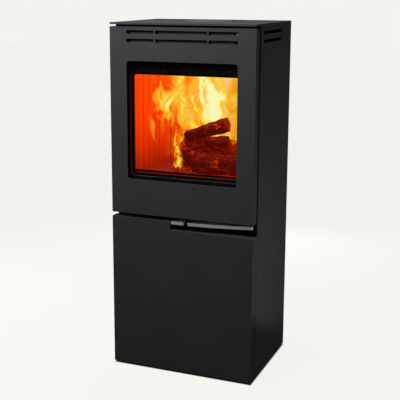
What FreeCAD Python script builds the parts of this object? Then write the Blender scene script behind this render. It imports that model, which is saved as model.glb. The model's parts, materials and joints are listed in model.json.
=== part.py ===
import FreeCAD, Part

import math
import os

# Hybrid stove for logs and pellets, in millimetres.
# Origin on the floor below the middle of the casing, front towards -Y, +X to the right, +Z up.

# Casing
WIDTH = 500.0
DEPTH = 380.0
HEIGHT = 1175.0
SIDE_SHEET = 3.0
REAR_SHEET = 2.0
TOP_THICK = 6.0
BASE_LIFT = 10.0
BASE_THICK = 4.0
FLOOR_GAP = 6.0
REAR_FLANGE = 18.0
FRAME_THICK = 4.0
BACK_ROOM = 70.0
SHELF_DROP = 70.0
SHELF_THICK = 3.0
SCREW_RADIUS = 2.0
SCREW_HEAD_RADIUS = 4.0
SCREW_HEAD = 1.8
SCREW_ROWS = 5
SCREW_MARGIN = 70.0

# Feet
FOOT_RADIUS = 20.0
FOOT_PAD = 5.0
FOOT_NUT = 9.0
FOOT_STUD = 4.0
FOOT_STUD_ABOVE = 10.0
FOOT_INSET = 45.0

# Air slots of the casing and the fire door
SIDE_SLOT_SETBACK = 32.5
SIDE_SLOT_LENGTH = 191.0
SIDE_SLOT_HEIGHT = 10.0
SIDE_SLOT_DROP = 23.0
SLOT_ROWS = 2
SLOT_PITCH = 27.0
SLOT_HEIGHT = 11.5
SLOT_SPAN = 382.0
SLOT_DROP = 11.0
SLOT_BRIDGE = 5.0
SLOT_BRIDGE_X = 91.0
BACKING_SETBACK = 6.0
BACKING_SHEET = 2.0
BACKING_MARGIN = 6.0
BACKING_BRIDGE_GAP = 20.0
BACKING_END_GAP = 12.0

# Doors
DOOR_DEPTH = 32.0
DOOR_SHEET = 4.0
RETURN_SHEET = 3.0
DOOR_GAP = 13.5
DOOR_HEIGHT = 618.0
DOOR_TOP_GAP = 7.0
DOOR_FRAME_SHEET = 3.0
SEAM = 14.0
WINDOW_WIDTH = 382.0
WINDOW_HEIGHT = 391.0
WINDOW_DROP = 109.0
WINDOW_RADIUS = 10.0
GLASS_OVERLAP = 10.0
GLASS_THICK = 4.0
GLASS_SEAL = 3.0
GLASS_SEAL_WIDTH = 8.0
CLIP_LENGTH = 30.0
CLIP_SHARES = (0.25, 0.75)
CLIP_OVERLAP = 7.0
CLIP_LEG = 9.0
CLIP_SHEET = 2.0
DOOR_SEAL_WIDTH = 14.0
DOOR_SEAL_MARGIN = 8.0
NOTCH_LEFT = -38.0
NOTCH_DROP = 30.0
CLOSING_GAP = 2.0
LOWER_FRAME_WIDTH = 40.0

# Hinges, shared by both doors
HINGE_PIN_RADIUS = 3.0
KNUCKLE_RADIUS = 4.9
HINGE_SETBACK = 6.3
HINGE_INSET = 5.0
HINGE_LUG = 24.0
HINGE_EAR = 12.0
HINGE_LEAF_REACH = 36.0
HINGE_LEAF = 3.6
FIRE_HINGE_MARGIN = 70.0
LOWER_HINGE_MARGIN = 100.0
HINGE_HEAD = 1.5
HINGE_HEAD_RADIUS = 4.5
MAGNET_WIDTH = 14.0
MAGNET_HEIGHT = 40.0
MAGNET_DROP = 189.0
STRIKE_SHEET = 2.2
STRIKE_MARGIN = 3.0

# Handle, latch and air lever
GRIP_RAISE = 21.0
GRIP_HEIGHT = 10.0
GRIP_RIM = 3.0
GRIP_FLOOR = 3.0
GRIP_DEPTH = 27.5
GRIP_SETBACK = 1.5
GRIP_SLANT = 7.0
HANDLE_LEFT = 24.0
HANDLE_PIN_X = 232.0
HANDLE_BOW = 5.0
HANDLE_BACK_BOW = 1.25
HANDLE_TRAY_END = 160.0
HANDLE_PIN_RADIUS = 4.0
HANDLE_EYE_RADIUS = 5.6
CAM_THICK = 6.0
CAM_REACH = 10.5
CAM_WIDTH = 3.6
KEEPER_HEIGHT = 12.0
HANDLE_PIN_HEAD = 3.0
HANDLE_EAR = 8.0
HANDLE_LEAF_WIDTH = 24.0
HANDLE_LEAF_RISE = 45.0
AIR_LEVER_LEFT = -34.0
AIR_LEVER_WIDTH = 43.0
AIR_ROD_WIDTH = 14.0
AIR_ROD_THICK = 5.0

# Fire opening and firebox
FIRE_WIDTH = 370.0
FIRE_SILL_DROP = 3.0
FIRE_HEIGHT = 330.0
FIRE_RADIUS = 8.0
FIREBOX_WIDTH = 430.0
FIREBOX_HEIGHT = 445.0
FIREBOX_WALL = 4.0
HOOD_WIDTH = 160.0
HOOD_DEPTH = 140.0
HOOD_RISE = 60.0
BRICK = 25.0
FLOOR_BRICK = 20.0
BRICK_HEIGHT = 345.0
FLUTE_PITCH = 44.0
FLUTE_WIDTH = 5.0
FLUTE_DEPTH = 3.0
BAFFLE_THICK = 20.0
BAFFLE_GAP = 65.0
GRATE_WIDTH = 150.0
GRATE_DEPTH = 120.0
GRATE_LEDGE = 10.0
GRATE_SLOT = 8.0
GRATE_SLOTS = 7
LOG_GUARD_HEIGHT = 6.0
LOG_GUARD_THICK = 8.0

# Flue
FLUE_RADIUS = 65.0
FLUE_WALL = 2.0
FLUE_FLANGE = 10.0
FLUE_FLANGE_THICK = 3.0
FLUE_TOP_MARGIN = 1.0
COVER_RADIUS = 95.0
COVER_GAP = 2.0
COVER_LEDGE = 7.0
COVER_THICK = 4.0
TOP_SLOT_X = (102.0, 127.0)
TOP_SLOT_WIDTH = 8.0
TOP_SLOT_LENGTH = 40.0

# Ash drawer and its housing
ASH_WIDTH = 310.0
ASH_REAR_GAP = 20.5
ASH_HOUSING_HEIGHT = 92.0
ASH_SHEET = 2.0
DRAWER_HEIGHT = 70.0
DRAWER_FRONT_MARGIN = 8.0
DRAWER_PULL = 80.0
DRAWER_PULL_BAR = 8.0

# Combustion air
AIR_BOX_WIDTH = 130.0
AIR_BOX_SETBACK = 35.5
AIR_BOX_HEIGHT = 86.0
AIR_SHEET = 2.0
AIR_PORT_RADIUS = 30.0
AIR_REAR_ROOM = 60.0
AIR_WAY_WIDTH = 65.0
AIR_WAY_SHARES = (0.25, 0.5)
VALVE_OVERLAP = 4.0
VALVE_THICK = 4.0
INTAKE_RADIUS = 40.0
INTAKE_WALL = 2.0
FAN_DEPTH = 38.0
FAN_BORE = 37.0
FAN_HUB = 14.0
FAN_BLADES = 7
FAN_BLADE_THICK = 2.0
FAN_BLADE_PITCH = 40.0
FAN_TIP_GAP = 1.5
FAN_MOTOR_RADIUS = 16.0
FAN_MOTOR_LENGTH = 15.0
FAN_SHAFT = 3.0

# Pellet hopper and auger
HOPPER_LEFT = -30.0
HOPPER_RIGHT = 236.0
HOPPER_FRONT_GAP = 9.0
HOPPER_REAR_GAP = 9.5
HOPPER_HEADROOM_SHARE = 0.35
HOPPER_SHEET = 2.0
HOPPER_SLOPE_SHARES = (0.6, 0.15)
LID_SWING_GAP = 29.0
LID_SHEET = 2.0
LID_MARGIN = 10.0
LID_ROD_RADIUS = 2.5
LID_KNUCKLE = 5.0
LID_KNUCKLE_LENGTH = 40.0
LID_KNOB_RADIUS = 9.0
LID_KNOB_HEIGHT = 14.0
AUGER_X = 130.0
AUGER_GAP = 3.0
AUGER_TUBE_RADIUS = 29.0
AUGER_TUBE_WALL = 2.5
AUGER_RISE = 135.0
AUGER_FLOOR = 8.0
AUGER_SHAFT = 8.0
AUGER_PIVOT = 5.0
AUGER_PIVOT_LENGTH = 6.0
AUGER_FLIGHT_GAP = 2.5
AUGER_PITCH = 45.0
AUGER_FLIGHT_THICK = 3.0
AUGER_END_GAP = 12.0
THROAT_WIDTH = 46.0
THROAT_HEIGHT = 50.0
CHUTE_WIDTH = 44.0
CHUTE_HEIGHT = 40.0
CHUTE_SHEET = 2.0
CHUTE_REACH = 26.0
CHUTE_DROP = 30.0
CHUTE_BELOW_TOP = 70.0
MOTOR_SIZE = 56.0
MOTOR_HEIGHT = 80.0
MOTOR_SOCKET = 15.0

# Igniter and electrics
IGNITER_RADIUS = 6.0
IGNITER_X = 45.0
IGNITER_RISE = 15.0
IGNITER_REACH = 12.0
IGNITER_TAIL = 30.0
IGNITER_FLANGE = 14.0
CONTROL_WIDTH = 50.0
CONTROL_DEPTH = 160.0
CONTROL_SHARES = (0.23, 0.71)
CONTROL_SHEET = 1.5
BOARD_THICK = 1.6
BOARD_MARGIN = 8.0
INLET_WIDTH = 48.0
INLET_HEIGHT = 28.0
INLET_DEPTH = 26.0
INLET_SHARE = 0.12
INLET_X = -190.0
INLET_FRAME = 4.0
INLET_SOCKET_WALL = 4.0
INLET_SOCKET_DEPTH = 16.0

# Clearances
RUN_FIT = 0.05
SEAT = 0.3
HOLE_CLEAR = 0.5
PASS = 1.5

# Planes and levels worked out from the sizes above
HALF = WIDTH / 2
INNER = HALF - SIDE_SHEET
FRONT = -DEPTH / 2
REAR = DEPTH / 2
DOOR_BACK = FRONT + DOOR_DEPTH
CASE_FRONT = DOOR_BACK + DOOR_GAP
FRAME_BACK = CASE_FRONT + FRAME_THICK
REAR_FACE = REAR - REAR_SHEET
CASE_BACK = REAR_FACE - SIDE_SHEET
TOP_UNDER = HEIGHT - TOP_THICK
BASE_TOP = BASE_LIFT + BASE_THICK
DOOR_TOP = TOP_UNDER - DOOR_TOP_GAP
DOOR_BOTTOM = DOOR_TOP - DOOR_HEIGHT
LOWER_TOP = DOOR_BOTTOM - SEAM
NOTCH_FLOOR = LOWER_TOP - NOTCH_DROP
SHELF_HEIGHT = DOOR_BOTTOM - SHELF_DROP
SHELF_TOP = SHELF_HEIGHT + SHELF_THICK
STORE_HEIGHT = SHELF_HEIGHT - BASE_TOP
AIR_BOX_TOP = SHELF_TOP + AIR_BOX_HEIGHT
FIREBOX_BOTTOM = AIR_BOX_TOP + ASH_HOUSING_HEIGHT
FIREBOX_TOP = FIREBOX_BOTTOM + FIREBOX_HEIGHT
FIREBOX_REAR = CASE_BACK - BACK_ROOM
FIREBOX_FLOOR = FIREBOX_BOTTOM + FIREBOX_WALL
HOOD_TOP = FIREBOX_TOP + HOOD_RISE
HEARTH = FIREBOX_FLOOR + FLOOR_BRICK
FIRE_BOTTOM = HEARTH - FIRE_SILL_DROP
WINDOW_BOTTOM = DOOR_TOP - WINDOW_DROP - WINDOW_HEIGHT
BRICK_TOP = FIREBOX_FLOOR + BRICK_HEIGHT
LINING_HALF = FIREBOX_WIDTH / 2 - FIREBOX_WALL
CHAMBER_HALF = LINING_HALF - BRICK
LINING_REAR = FIREBOX_REAR - FIREBOX_WALL
CHAMBER_REAR = LINING_REAR - BRICK
FLUE_Z = BRICK_TOP + BAFFLE_THICK + FLUE_TOP_MARGIN + FLUE_RADIUS
FLUE_Y = FIREBOX_REAR - HOOD_DEPTH / 2
GRATE_Y = (FRAME_BACK + CHAMBER_REAR) / 2
AIR_Z = SHELF_TOP + AIR_BOX_HEIGHT / 2
ASH_REAR = FIREBOX_REAR - ASH_REAR_GAP
AIR_BOX_REAR = FIREBOX_REAR - AIR_BOX_SETBACK
AIR_PORT = AIR_BOX_REAR - AIR_REAR_ROOM
AIR_WAY = tuple(FRAME_BACK + share * (ASH_REAR - FRAME_BACK) for share in AIR_WAY_SHARES)
FAN_REAR = AIR_BOX_REAR + FAN_DEPTH
HINGE_X = -HALF + HINGE_INSET
HINGE_Y = DOOR_BACK + HINGE_SETBACK
HANDLE_PIN_Y = DOOR_BACK + HANDLE_EYE_RADIUS + SEAT
GRIP_BOTTOM = NOTCH_FLOOR + GRIP_RAISE
GRIP_TOP = GRIP_BOTTOM + GRIP_HEIGHT
GRIP_FRONT = FRONT + GRIP_SETBACK
AIR_ROD_Z = GRIP_BOTTOM + GRIP_FLOOR
AIR_ROD_X = AIR_LEVER_LEFT + (AIR_LEVER_WIDTH + GRIP_SLANT) / 2
HOPPER_FRONT = FRAME_BACK + HOPPER_FRONT_GAP
HOPPER_HEADROOM = HOPPER_HEADROOM_SHARE * STORE_HEIGHT
HOPPER_TOP = SHELF_HEIGHT - HOPPER_HEADROOM
HOPPER_SLOPE_FRONT, HOPPER_SLOPE_REAR = (BASE_TOP + share * (HOPPER_TOP - BASE_TOP)
                                         for share in HOPPER_SLOPE_SHARES)
LID_DEPTH = HOPPER_HEADROOM - LID_SWING_GAP
LID_ROD_Y = HOPPER_FRONT + LID_DEPTH + LID_KNUCKLE
LID_ROD_Z = HOPPER_TOP + SEAT + LID_KNUCKLE
AUGER_Y = FIREBOX_REAR + AUGER_GAP + AUGER_TUBE_RADIUS
HOPPER_REAR = FIREBOX_REAR + AUGER_GAP - HOPPER_REAR_GAP
AUGER_TOP = HEARTH + AUGER_RISE
AUGER_BORE = AUGER_TUBE_RADIUS - AUGER_TUBE_WALL
CHUTE_MOUTH = CHAMBER_REAR - CHUTE_REACH
INLET_RAISE = BASE_TOP + INLET_SHARE * STORE_HEIGHT
MAGNET_RAISE = NOTCH_FLOOR - MAGNET_DROP
FIRE_HINGE_HEIGHTS = (DOOR_BOTTOM + FIRE_HINGE_MARGIN, DOOR_TOP - FIRE_HINGE_MARGIN)
LOWER_HINGE_HEIGHTS = (FLOOR_GAP + LOWER_HINGE_MARGIN, NOTCH_FLOOR - LOWER_HINGE_MARGIN)


def point(x, y, z):
    return FreeCAD.Vector(x, y, z)


def block(x, y, z):
    return Part.makeBox(x[1] - x[0], y[1] - y[0], z[1] - z[0], point(x[0], y[0], z[0]))


def rod(radius, start, end):
    axis = point(*end) - point(*start)
    return Part.makeCylinder(radius, axis.Length, point(*start), axis)


def span(centre, size):
    return (centre - size / 2, centre + size / 2)


def grow(pair, by):
    return (pair[0] - by, pair[1] + by)


def sided(side, near, far):
    return tuple(sorted((side * near, side * far)))


def window(x, y, z, radius):
    solid = block(x, y, z)
    along = [edge for edge in solid.Edges if edge.BoundBox.YLength > radius / 1e3
             and edge.BoundBox.XLength + edge.BoundBox.ZLength < radius / 1e3]
    return solid.makeFillet(radius, along)


def plate(corners, lift):
    wire = Part.makePolygon([point(*corner) for corner in corners] + [point(*corners[0])])
    return Part.Face(wire).extrude(point(*lift))


def fuse(first, *others):
    return first.multiFuse(list(others)).removeSplitter()


def cut(solid, *tools):
    for tool in tools:
        solid = solid.cut(tool)
    return solid


def group(solids):
    return Part.makeCompound(list(solids))


# Casing

def screw_points():
    reach = TOP_UNDER - BASE_TOP - 2 * SCREW_MARGIN
    for side in (-1, 1):
        for row in range(SCREW_ROWS):
            x = side * (INNER - REAR_FLANGE / 2)
            yield x, BASE_TOP + SCREW_MARGIN + reach * row / (SCREW_ROWS - 1)


def screw_holes():
    return [rod(SCREW_RADIUS, (x, CASE_BACK, z), (x, REAR, z)) for x, z in screw_points()]


def casing_screws():
    screws = []
    for x, z in screw_points():
        head = rod(SCREW_HEAD_RADIUS, (x, REAR, z), (x, REAR - SCREW_HEAD, z))
        shank = rod(SCREW_RADIUS, (x, REAR, z), (x, CASE_BACK, z))
        screws.append(fuse(head, shank))
    return group(screws)


def side_panel(side):
    height = (FLOOR_GAP, TOP_UNDER)
    sheet = block(sided(side, INNER, HALF), (CASE_FRONT, REAR), height)
    flange = block(sided(side, INNER - REAR_FLANGE, INNER), (CASE_BACK, REAR_FACE), (BASE_TOP, TOP_UNDER))
    panel = fuse(sheet, flange)
    start = CASE_FRONT + SIDE_SLOT_SETBACK
    for row in range(SLOT_ROWS):
        top = HEIGHT - SIDE_SLOT_DROP - row * SLOT_PITCH
        slot = (top - SIDE_SLOT_HEIGHT, top)
        panel = panel.cut(block(sided(side, INNER, HALF), (start, start + SIDE_SLOT_LENGTH), slot))
    return cut(panel, *screw_holes())


def rear_panel():
    panel = block((-INNER, INNER), (REAR_FACE, REAR), (BASE_LIFT, TOP_UNDER))
    flue = rod(FLUE_RADIUS + PASS, (0, REAR_FACE, FLUE_Z), (0, REAR, FLUE_Z))
    intake = rod(INTAKE_RADIUS + PASS, (0, REAR_FACE, AIR_Z), (0, REAR, AIR_Z))
    inlet = block(span(INLET_X, INLET_WIDTH), (REAR_FACE, REAR), span(INLET_RAISE, INLET_HEIGHT))
    panel = cut(panel, flue, intake, inlet, *screw_holes())
    for x, z in screw_points():
        panel = panel.cut(rod(SCREW_HEAD_RADIUS, (x, REAR - SCREW_HEAD, z), (x, REAR, z)))
    return panel


def top_plate():
    panel = block((-HALF, HALF), (FRONT, REAR), (TOP_UNDER, HEIGHT))
    seat = rod(COVER_RADIUS + COVER_GAP, (0, FLUE_Y, HEIGHT - COVER_THICK), (0, FLUE_Y, HEIGHT))
    opening = rod(COVER_RADIUS - COVER_LEDGE, (0, FLUE_Y, TOP_UNDER), (0, FLUE_Y, HEIGHT))
    slots = [block(span(side * x, TOP_SLOT_WIDTH), span(FLUE_Y, TOP_SLOT_LENGTH), (TOP_UNDER, HEIGHT))
             for side in (-1, 1) for x in TOP_SLOT_X]
    return cut(panel, seat, opening, *slots)


def flue_cover():
    return rod(COVER_RADIUS, (0, FLUE_Y, HEIGHT - COVER_THICK), (0, FLUE_Y, HEIGHT))


def foot_places():
    return [(side * (HALF - FOOT_INSET), y) for side in (-1, 1)
            for y in (CASE_FRONT + FOOT_INSET, CASE_BACK - FOOT_INSET)]


def base_plate():
    panel = block((-INNER, INNER), (CASE_FRONT, REAR_FACE), (BASE_LIFT, BASE_TOP))
    holes = [rod(FOOT_STUD + HOLE_CLEAR / 2, (x, y, BASE_LIFT), (x, y, BASE_TOP)) for x, y in foot_places()]
    return cut(panel, *holes)


def levelling_feet():
    feet = []
    for x, y in foot_places():
        pad = rod(FOOT_RADIUS, (x, y, 0), (x, y, FOOT_PAD))
        corners = [(x + FOOT_NUT * math.cos(turn * math.pi / 3), y + FOOT_NUT * math.sin(turn * math.pi / 3), 0)
                   for turn in range(6)]
        nut = plate(corners, (0, 0, BASE_LIFT))
        stud = rod(FOOT_STUD, (x, y, 0), (x, y, BASE_TOP + FOOT_STUD_ABOVE))
        feet.append(fuse(pad, nut, stud))
    return group(feet)


def front_frame():
    through = (CASE_FRONT, FRAME_BACK)
    frame = block((-INNER, INNER), through, (BASE_TOP, TOP_UNDER))
    fire = window(span(0, FIRE_WIDTH), through, (FIRE_BOTTOM, FIRE_BOTTOM + FIRE_HEIGHT), FIRE_RADIUS)
    air = block(span(0, SLOT_SPAN), through, (slot_rows()[-1][0], slot_rows()[0][1]))
    ash = block(grow(drawer_x(), PASS), through, grow(drawer_z(), PASS))
    store = block(grow((-INNER, INNER), -LOWER_FRAME_WIDTH), through,
                  (BASE_TOP + LOWER_FRAME_WIDTH / 2, SHELF_HEIGHT - LOWER_FRAME_WIDTH / 2))
    lever = block(grow(span(AIR_ROD_X, AIR_ROD_WIDTH), PASS), through,
                  grow((AIR_ROD_Z, AIR_ROD_Z + AIR_ROD_THICK), PASS))
    return cut(frame, fire, air, ash, store, lever)


def shelf():
    panel = block((-INNER, INNER), (FRAME_BACK, CASE_BACK), (SHELF_HEIGHT, SHELF_TOP))
    return panel.cut(rod(AUGER_TUBE_RADIUS + PASS, (AUGER_X, AUGER_Y, SHELF_HEIGHT),
                         (AUGER_X, AUGER_Y, SHELF_TOP)))


# Firebox, its lining and the flue

def chute(by, front, back):
    slope = CHUTE_DROP / (AUGER_Y - CHUTE_MOUTH)
    corners = []
    for y, level in ((front, -by), (back, -by), (back, CHUTE_HEIGHT + by), (front, CHUTE_HEIGHT + by)):
        corners.append((y, AUGER_TOP - CHUTE_BELOW_TOP - slope * (AUGER_Y - y) + level))
    left = AUGER_X - CHUTE_WIDTH / 2 - by
    return plate([(left, y, z) for y, z in corners], (CHUTE_WIDTH + 2 * by, 0, 0))


def chute_hole():
    return chute(HOLE_CLEAR, CHUTE_MOUTH, AUGER_Y)


def auger_core(radius, low, high):
    return rod(radius, (AUGER_X, AUGER_Y, low), (AUGER_X, AUGER_Y, high))


def drop_chute():
    duct = chute(0, CHUTE_MOUTH, AUGER_Y)
    duct = duct.cut(chute(-CHUTE_SHEET, CHUTE_MOUTH - CHUTE_REACH, AUGER_Y + AUGER_TUBE_RADIUS))
    return duct.cut(auger_core(AUGER_TUBE_RADIUS, BASE_TOP, AUGER_TOP))


def igniter_path(radius, start, end):
    z = HEARTH + IGNITER_RISE
    return rod(radius, (IGNITER_X, start, z), (IGNITER_X, end, z))


def igniter():
    stem = igniter_path(IGNITER_RADIUS, CHAMBER_REAR - IGNITER_REACH, FIREBOX_REAR + IGNITER_TAIL)
    return fuse(stem, igniter_path(IGNITER_FLANGE, FIREBOX_REAR, FIREBOX_REAR + FIREBOX_WALL))


def grate_x():
    return span(0, GRATE_WIDTH)


def grate_y():
    return span(GRATE_Y, GRATE_DEPTH)


def firebox_shell():
    hood_y = (FIREBOX_REAR - HOOD_DEPTH, FIREBOX_REAR)
    wall = FIREBOX_WALL
    shell = fuse(block(span(0, FIREBOX_WIDTH), (FRAME_BACK, FIREBOX_REAR), (FIREBOX_BOTTOM, FIREBOX_TOP)),
                 block(span(0, HOOD_WIDTH), hood_y, (FIREBOX_TOP - wall, HOOD_TOP)))
    chamber = block((-LINING_HALF, LINING_HALF), (FRAME_BACK, LINING_REAR), (FIREBOX_FLOOR, FIREBOX_TOP - wall))
    hood = block(grow(span(0, HOOD_WIDTH), -wall), grow(hood_y, -wall), (FIREBOX_FLOOR, HOOD_TOP - wall))
    bore = FLUE_RADIUS - 2 * FLUE_WALL
    rear_flue = rod(bore, (0, LINING_REAR, FLUE_Z), (0, FIREBOX_REAR, FLUE_Z))
    top_flue = rod(bore, (0, FLUE_Y, HOOD_TOP - wall), (0, FLUE_Y, HOOD_TOP))
    ash_fall = block(grow(grate_x(), -GRATE_LEDGE), grow(grate_y(), -GRATE_LEDGE),
                     (FIREBOX_BOTTOM, FIREBOX_FLOOR))
    return cut(shell, chamber, hood, rear_flue, top_flue, ash_fall, chute_hole(),
               igniter_path(IGNITER_RADIUS + HOLE_CLEAR, LINING_REAR, FIREBOX_REAR))


def flue_spigot():
    outer = fuse(rod(FLUE_RADIUS, (0, FIREBOX_REAR, FLUE_Z), (0, REAR, FLUE_Z)),
                 rod(FLUE_RADIUS + FLUE_FLANGE, (0, FIREBOX_REAR, FLUE_Z),
                     (0, FIREBOX_REAR + FLUE_FLANGE_THICK, FLUE_Z)))
    return outer.cut(rod(FLUE_RADIUS - FLUE_WALL, (0, FIREBOX_REAR, FLUE_Z), (0, REAR, FLUE_Z)))


def blanking_plate():
    return rod(FLUE_RADIUS + FLUE_WALL, (0, FLUE_Y, HOOD_TOP), (0, FLUE_Y, HOOD_TOP + FLUE_FLANGE_THICK))


def fluted(brick, face, start, end, cutter):
    count = int((end - start - FLUTE_WIDTH) / FLUTE_PITCH)
    first = (start + end - (count - 1) * FLUTE_PITCH) / 2
    grooves = [cutter(span(first + index * FLUTE_PITCH, FLUTE_WIDTH), face) for index in range(count)]
    return cut(brick, *grooves)


def side_brick(side):
    height = (FIREBOX_FLOOR, BRICK_TOP)
    brick = block(sided(side, CHAMBER_HALF, LINING_HALF), (FRAME_BACK, LINING_REAR), height)
    face = sided(side, CHAMBER_HALF, CHAMBER_HALF + FLUTE_DEPTH)
    return fluted(brick, face, FRAME_BACK, CHAMBER_REAR, lambda along, depth: block(depth, along, height))


def rear_brick():
    height = (FIREBOX_FLOOR, BRICK_TOP)
    brick = block((-CHAMBER_HALF, CHAMBER_HALF), (CHAMBER_REAR, LINING_REAR), height)
    face = (CHAMBER_REAR, CHAMBER_REAR + FLUTE_DEPTH)
    brick = fluted(brick, face, -CHAMBER_HALF, CHAMBER_HALF, lambda along, depth: block(along, depth, height))
    return cut(brick, chute_hole(),
               igniter_path(IGNITER_RADIUS + HOLE_CLEAR, CHAMBER_REAR, LINING_REAR))


def floor_bricks():
    height = (FIREBOX_FLOOR, HEARTH)
    middle = grow(grate_x(), HOLE_CLEAR)
    front, rear = grow(grate_y(), HOLE_CLEAR)
    sides = [block(sided(side, middle[1], CHAMBER_HALF), (FRAME_BACK, CHAMBER_REAR), height) for side in (-1, 1)]
    return group(sides + [block(middle, (FRAME_BACK, front), height), block(middle, (rear, CHAMBER_REAR), height)])


def baffle_brick():
    return block((-LINING_HALF, LINING_HALF), (FRAME_BACK + BAFFLE_GAP, LINING_REAR),
                 (BRICK_TOP, BRICK_TOP + BAFFLE_THICK))


def fire_grate():
    grate = block(grate_x(), grate_y(), (FIREBOX_FLOOR, HEARTH))
    inside = grow(grate_x(), -2 * GRATE_LEDGE)
    step = (inside[1] - inside[0]) / (GRATE_SLOTS - 1)
    for index in range(GRATE_SLOTS):
        x = inside[0] + index * step
        grate = grate.cut(block(span(x, GRATE_SLOT), grow(grate_y(), -2 * GRATE_LEDGE), (FIREBOX_FLOOR, HEARTH)))
    return grate


def log_guard():
    return block((-CHAMBER_HALF, CHAMBER_HALF), (FRAME_BACK, FRAME_BACK + LOG_GUARD_THICK),
                 (HEARTH, HEARTH + LOG_GUARD_HEIGHT))


# Ash drawer and its housing

def drawer_x():
    return grow(span(0, ASH_WIDTH), -ASH_SHEET - PASS)


def drawer_z():
    low = AIR_BOX_TOP + ASH_SHEET + SEAT
    return (low, low + DRAWER_HEIGHT)


def ash_housing():
    outer = block(span(0, ASH_WIDTH), (FRAME_BACK, ASH_REAR), (AIR_BOX_TOP, FIREBOX_BOTTOM))
    inner = block(grow(span(0, ASH_WIDTH), -ASH_SHEET), (FRAME_BACK, ASH_REAR - ASH_SHEET),
                  (AIR_BOX_TOP + ASH_SHEET, FIREBOX_BOTTOM))
    air = block(span(0, AIR_WAY_WIDTH), AIR_WAY, (AIR_BOX_TOP, AIR_BOX_TOP + ASH_SHEET))
    return cut(outer, inner, air)


def ash_drawer():
    depth = (CASE_FRONT - SEAT, ASH_REAR - ASH_SHEET - PASS)
    tray = block(drawer_x(), depth, drawer_z())
    hollow = block(grow(drawer_x(), -ASH_SHEET), grow(depth, -ASH_SHEET),
                   (drawer_z()[0] + ASH_SHEET, drawer_z()[1]))
    face = (CASE_FRONT - SEAT - 2 * ASH_SHEET, CASE_FRONT - SEAT)
    front = block(grow(drawer_x(), DRAWER_FRONT_MARGIN), face,
                  (AIR_BOX_TOP, drawer_z()[1] + DRAWER_FRONT_MARGIN))
    middle = (drawer_z()[0] + drawer_z()[1]) / 2
    bar_front = DOOR_BACK + PASS
    bar = block(span(0, DRAWER_PULL), (bar_front, bar_front + 2 * ASH_SHEET), span(middle, DRAWER_PULL_BAR))
    posts = [block(sided(side, DRAWER_PULL / 2 - DRAWER_PULL_BAR, DRAWER_PULL / 2), (bar_front, face[0]),
                   span(middle, DRAWER_PULL_BAR)) for side in (-1, 1)]
    return fuse(tray.cut(hollow), front, bar, *posts)


# Combustion air

def air_box():
    outer = block(span(0, AIR_BOX_WIDTH), (FRAME_BACK, AIR_BOX_REAR), (SHELF_TOP, AIR_BOX_TOP))
    inside_x = grow(span(0, AIR_BOX_WIDTH), -AIR_SHEET)
    inside_z = (SHELF_TOP + AIR_SHEET, AIR_BOX_TOP - AIR_SHEET)
    front_room = block(inside_x, (FRAME_BACK + AIR_SHEET, AIR_PORT), inside_z)
    rear_room = block(inside_x, (AIR_PORT + AIR_SHEET, AIR_BOX_REAR - AIR_SHEET), inside_z)
    valve_port = rod(AIR_PORT_RADIUS, (0, AIR_PORT, AIR_Z), (0, AIR_PORT + AIR_SHEET, AIR_Z))
    fan_port = rod(FAN_BORE, (0, AIR_BOX_REAR - AIR_SHEET, AIR_Z), (0, AIR_BOX_REAR, AIR_Z))
    up = block(span(0, AIR_WAY_WIDTH), AIR_WAY, (AIR_BOX_TOP - AIR_SHEET, AIR_BOX_TOP))
    lever = block(grow(span(AIR_ROD_X, AIR_ROD_WIDTH), PASS), (FRAME_BACK, FRAME_BACK + AIR_SHEET),
                  grow((AIR_ROD_Z, AIR_ROD_Z + AIR_ROD_THICK), PASS))
    return cut(outer, front_room, rear_room, valve_port, fan_port, up, lever)


def fan_housing():
    frame = block(span(0, AIR_BOX_HEIGHT), (AIR_BOX_REAR, FAN_REAR), (SHELF_TOP, AIR_BOX_TOP))
    return frame.cut(rod(FAN_BORE, (0, AIR_BOX_REAR, AIR_Z), (0, FAN_REAR, AIR_Z)))


def fan_motor():
    front = AIR_BOX_REAR
    back = front + FAN_MOTOR_LENGTH
    body = rod(FAN_MOTOR_RADIUS, (0, front, AIR_Z), (0, back, AIR_Z))
    shaft = rod(FAN_SHAFT, (0, back, AIR_Z), (0, FAN_REAR - PASS, AIR_Z))
    strut = block(span(0, 2 * FAN_BORE), (front, front + FAN_SHAFT), span(AIR_Z, FAN_SHAFT))
    bore = rod(FAN_BORE, (0, front, AIR_Z), (0, back, AIR_Z))
    struts = []
    for turn in (0, 90):
        bar = strut.copy()
        bar.rotate(point(0, front, AIR_Z), point(0, 1, 0), turn)
        struts.append(bar.common(bore))
    return fuse(body, shaft, *struts)


def fan_impeller():
    front = AIR_BOX_REAR + FAN_MOTOR_LENGTH + PASS
    back = FAN_REAR - PASS
    middle = (front + back) / 2
    hub = rod(FAN_HUB, (0, front, AIR_Z), (0, back, AIR_Z))
    room = rod(FAN_BORE - FAN_TIP_GAP, (0, front, AIR_Z), (0, back, AIR_Z))
    blades = []
    for index in range(FAN_BLADES):
        blade = block(span(0, FAN_BLADE_THICK), (front - FAN_HUB, back + FAN_HUB),
                      (AIR_Z + FAN_HUB / 2, AIR_Z + FAN_BORE))
        blade.rotate(point(0, middle, AIR_Z), point(0, 0, 1), FAN_BLADE_PITCH)
        blade.rotate(point(0, middle, AIR_Z), point(0, 1, 0), 360 * index / FAN_BLADES)
        blades.append(blade.common(room))
    return fuse(hub, *blades).cut(rod(FAN_SHAFT + RUN_FIT, (0, front, AIR_Z), (0, back, AIR_Z)))


def air_intake_spigot():
    outer = rod(INTAKE_RADIUS, (0, FAN_REAR, AIR_Z), (0, REAR, AIR_Z))
    return outer.cut(rod(INTAKE_RADIUS - INTAKE_WALL, (0, FAN_REAR, AIR_Z), (0, REAR, AIR_Z)))


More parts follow.
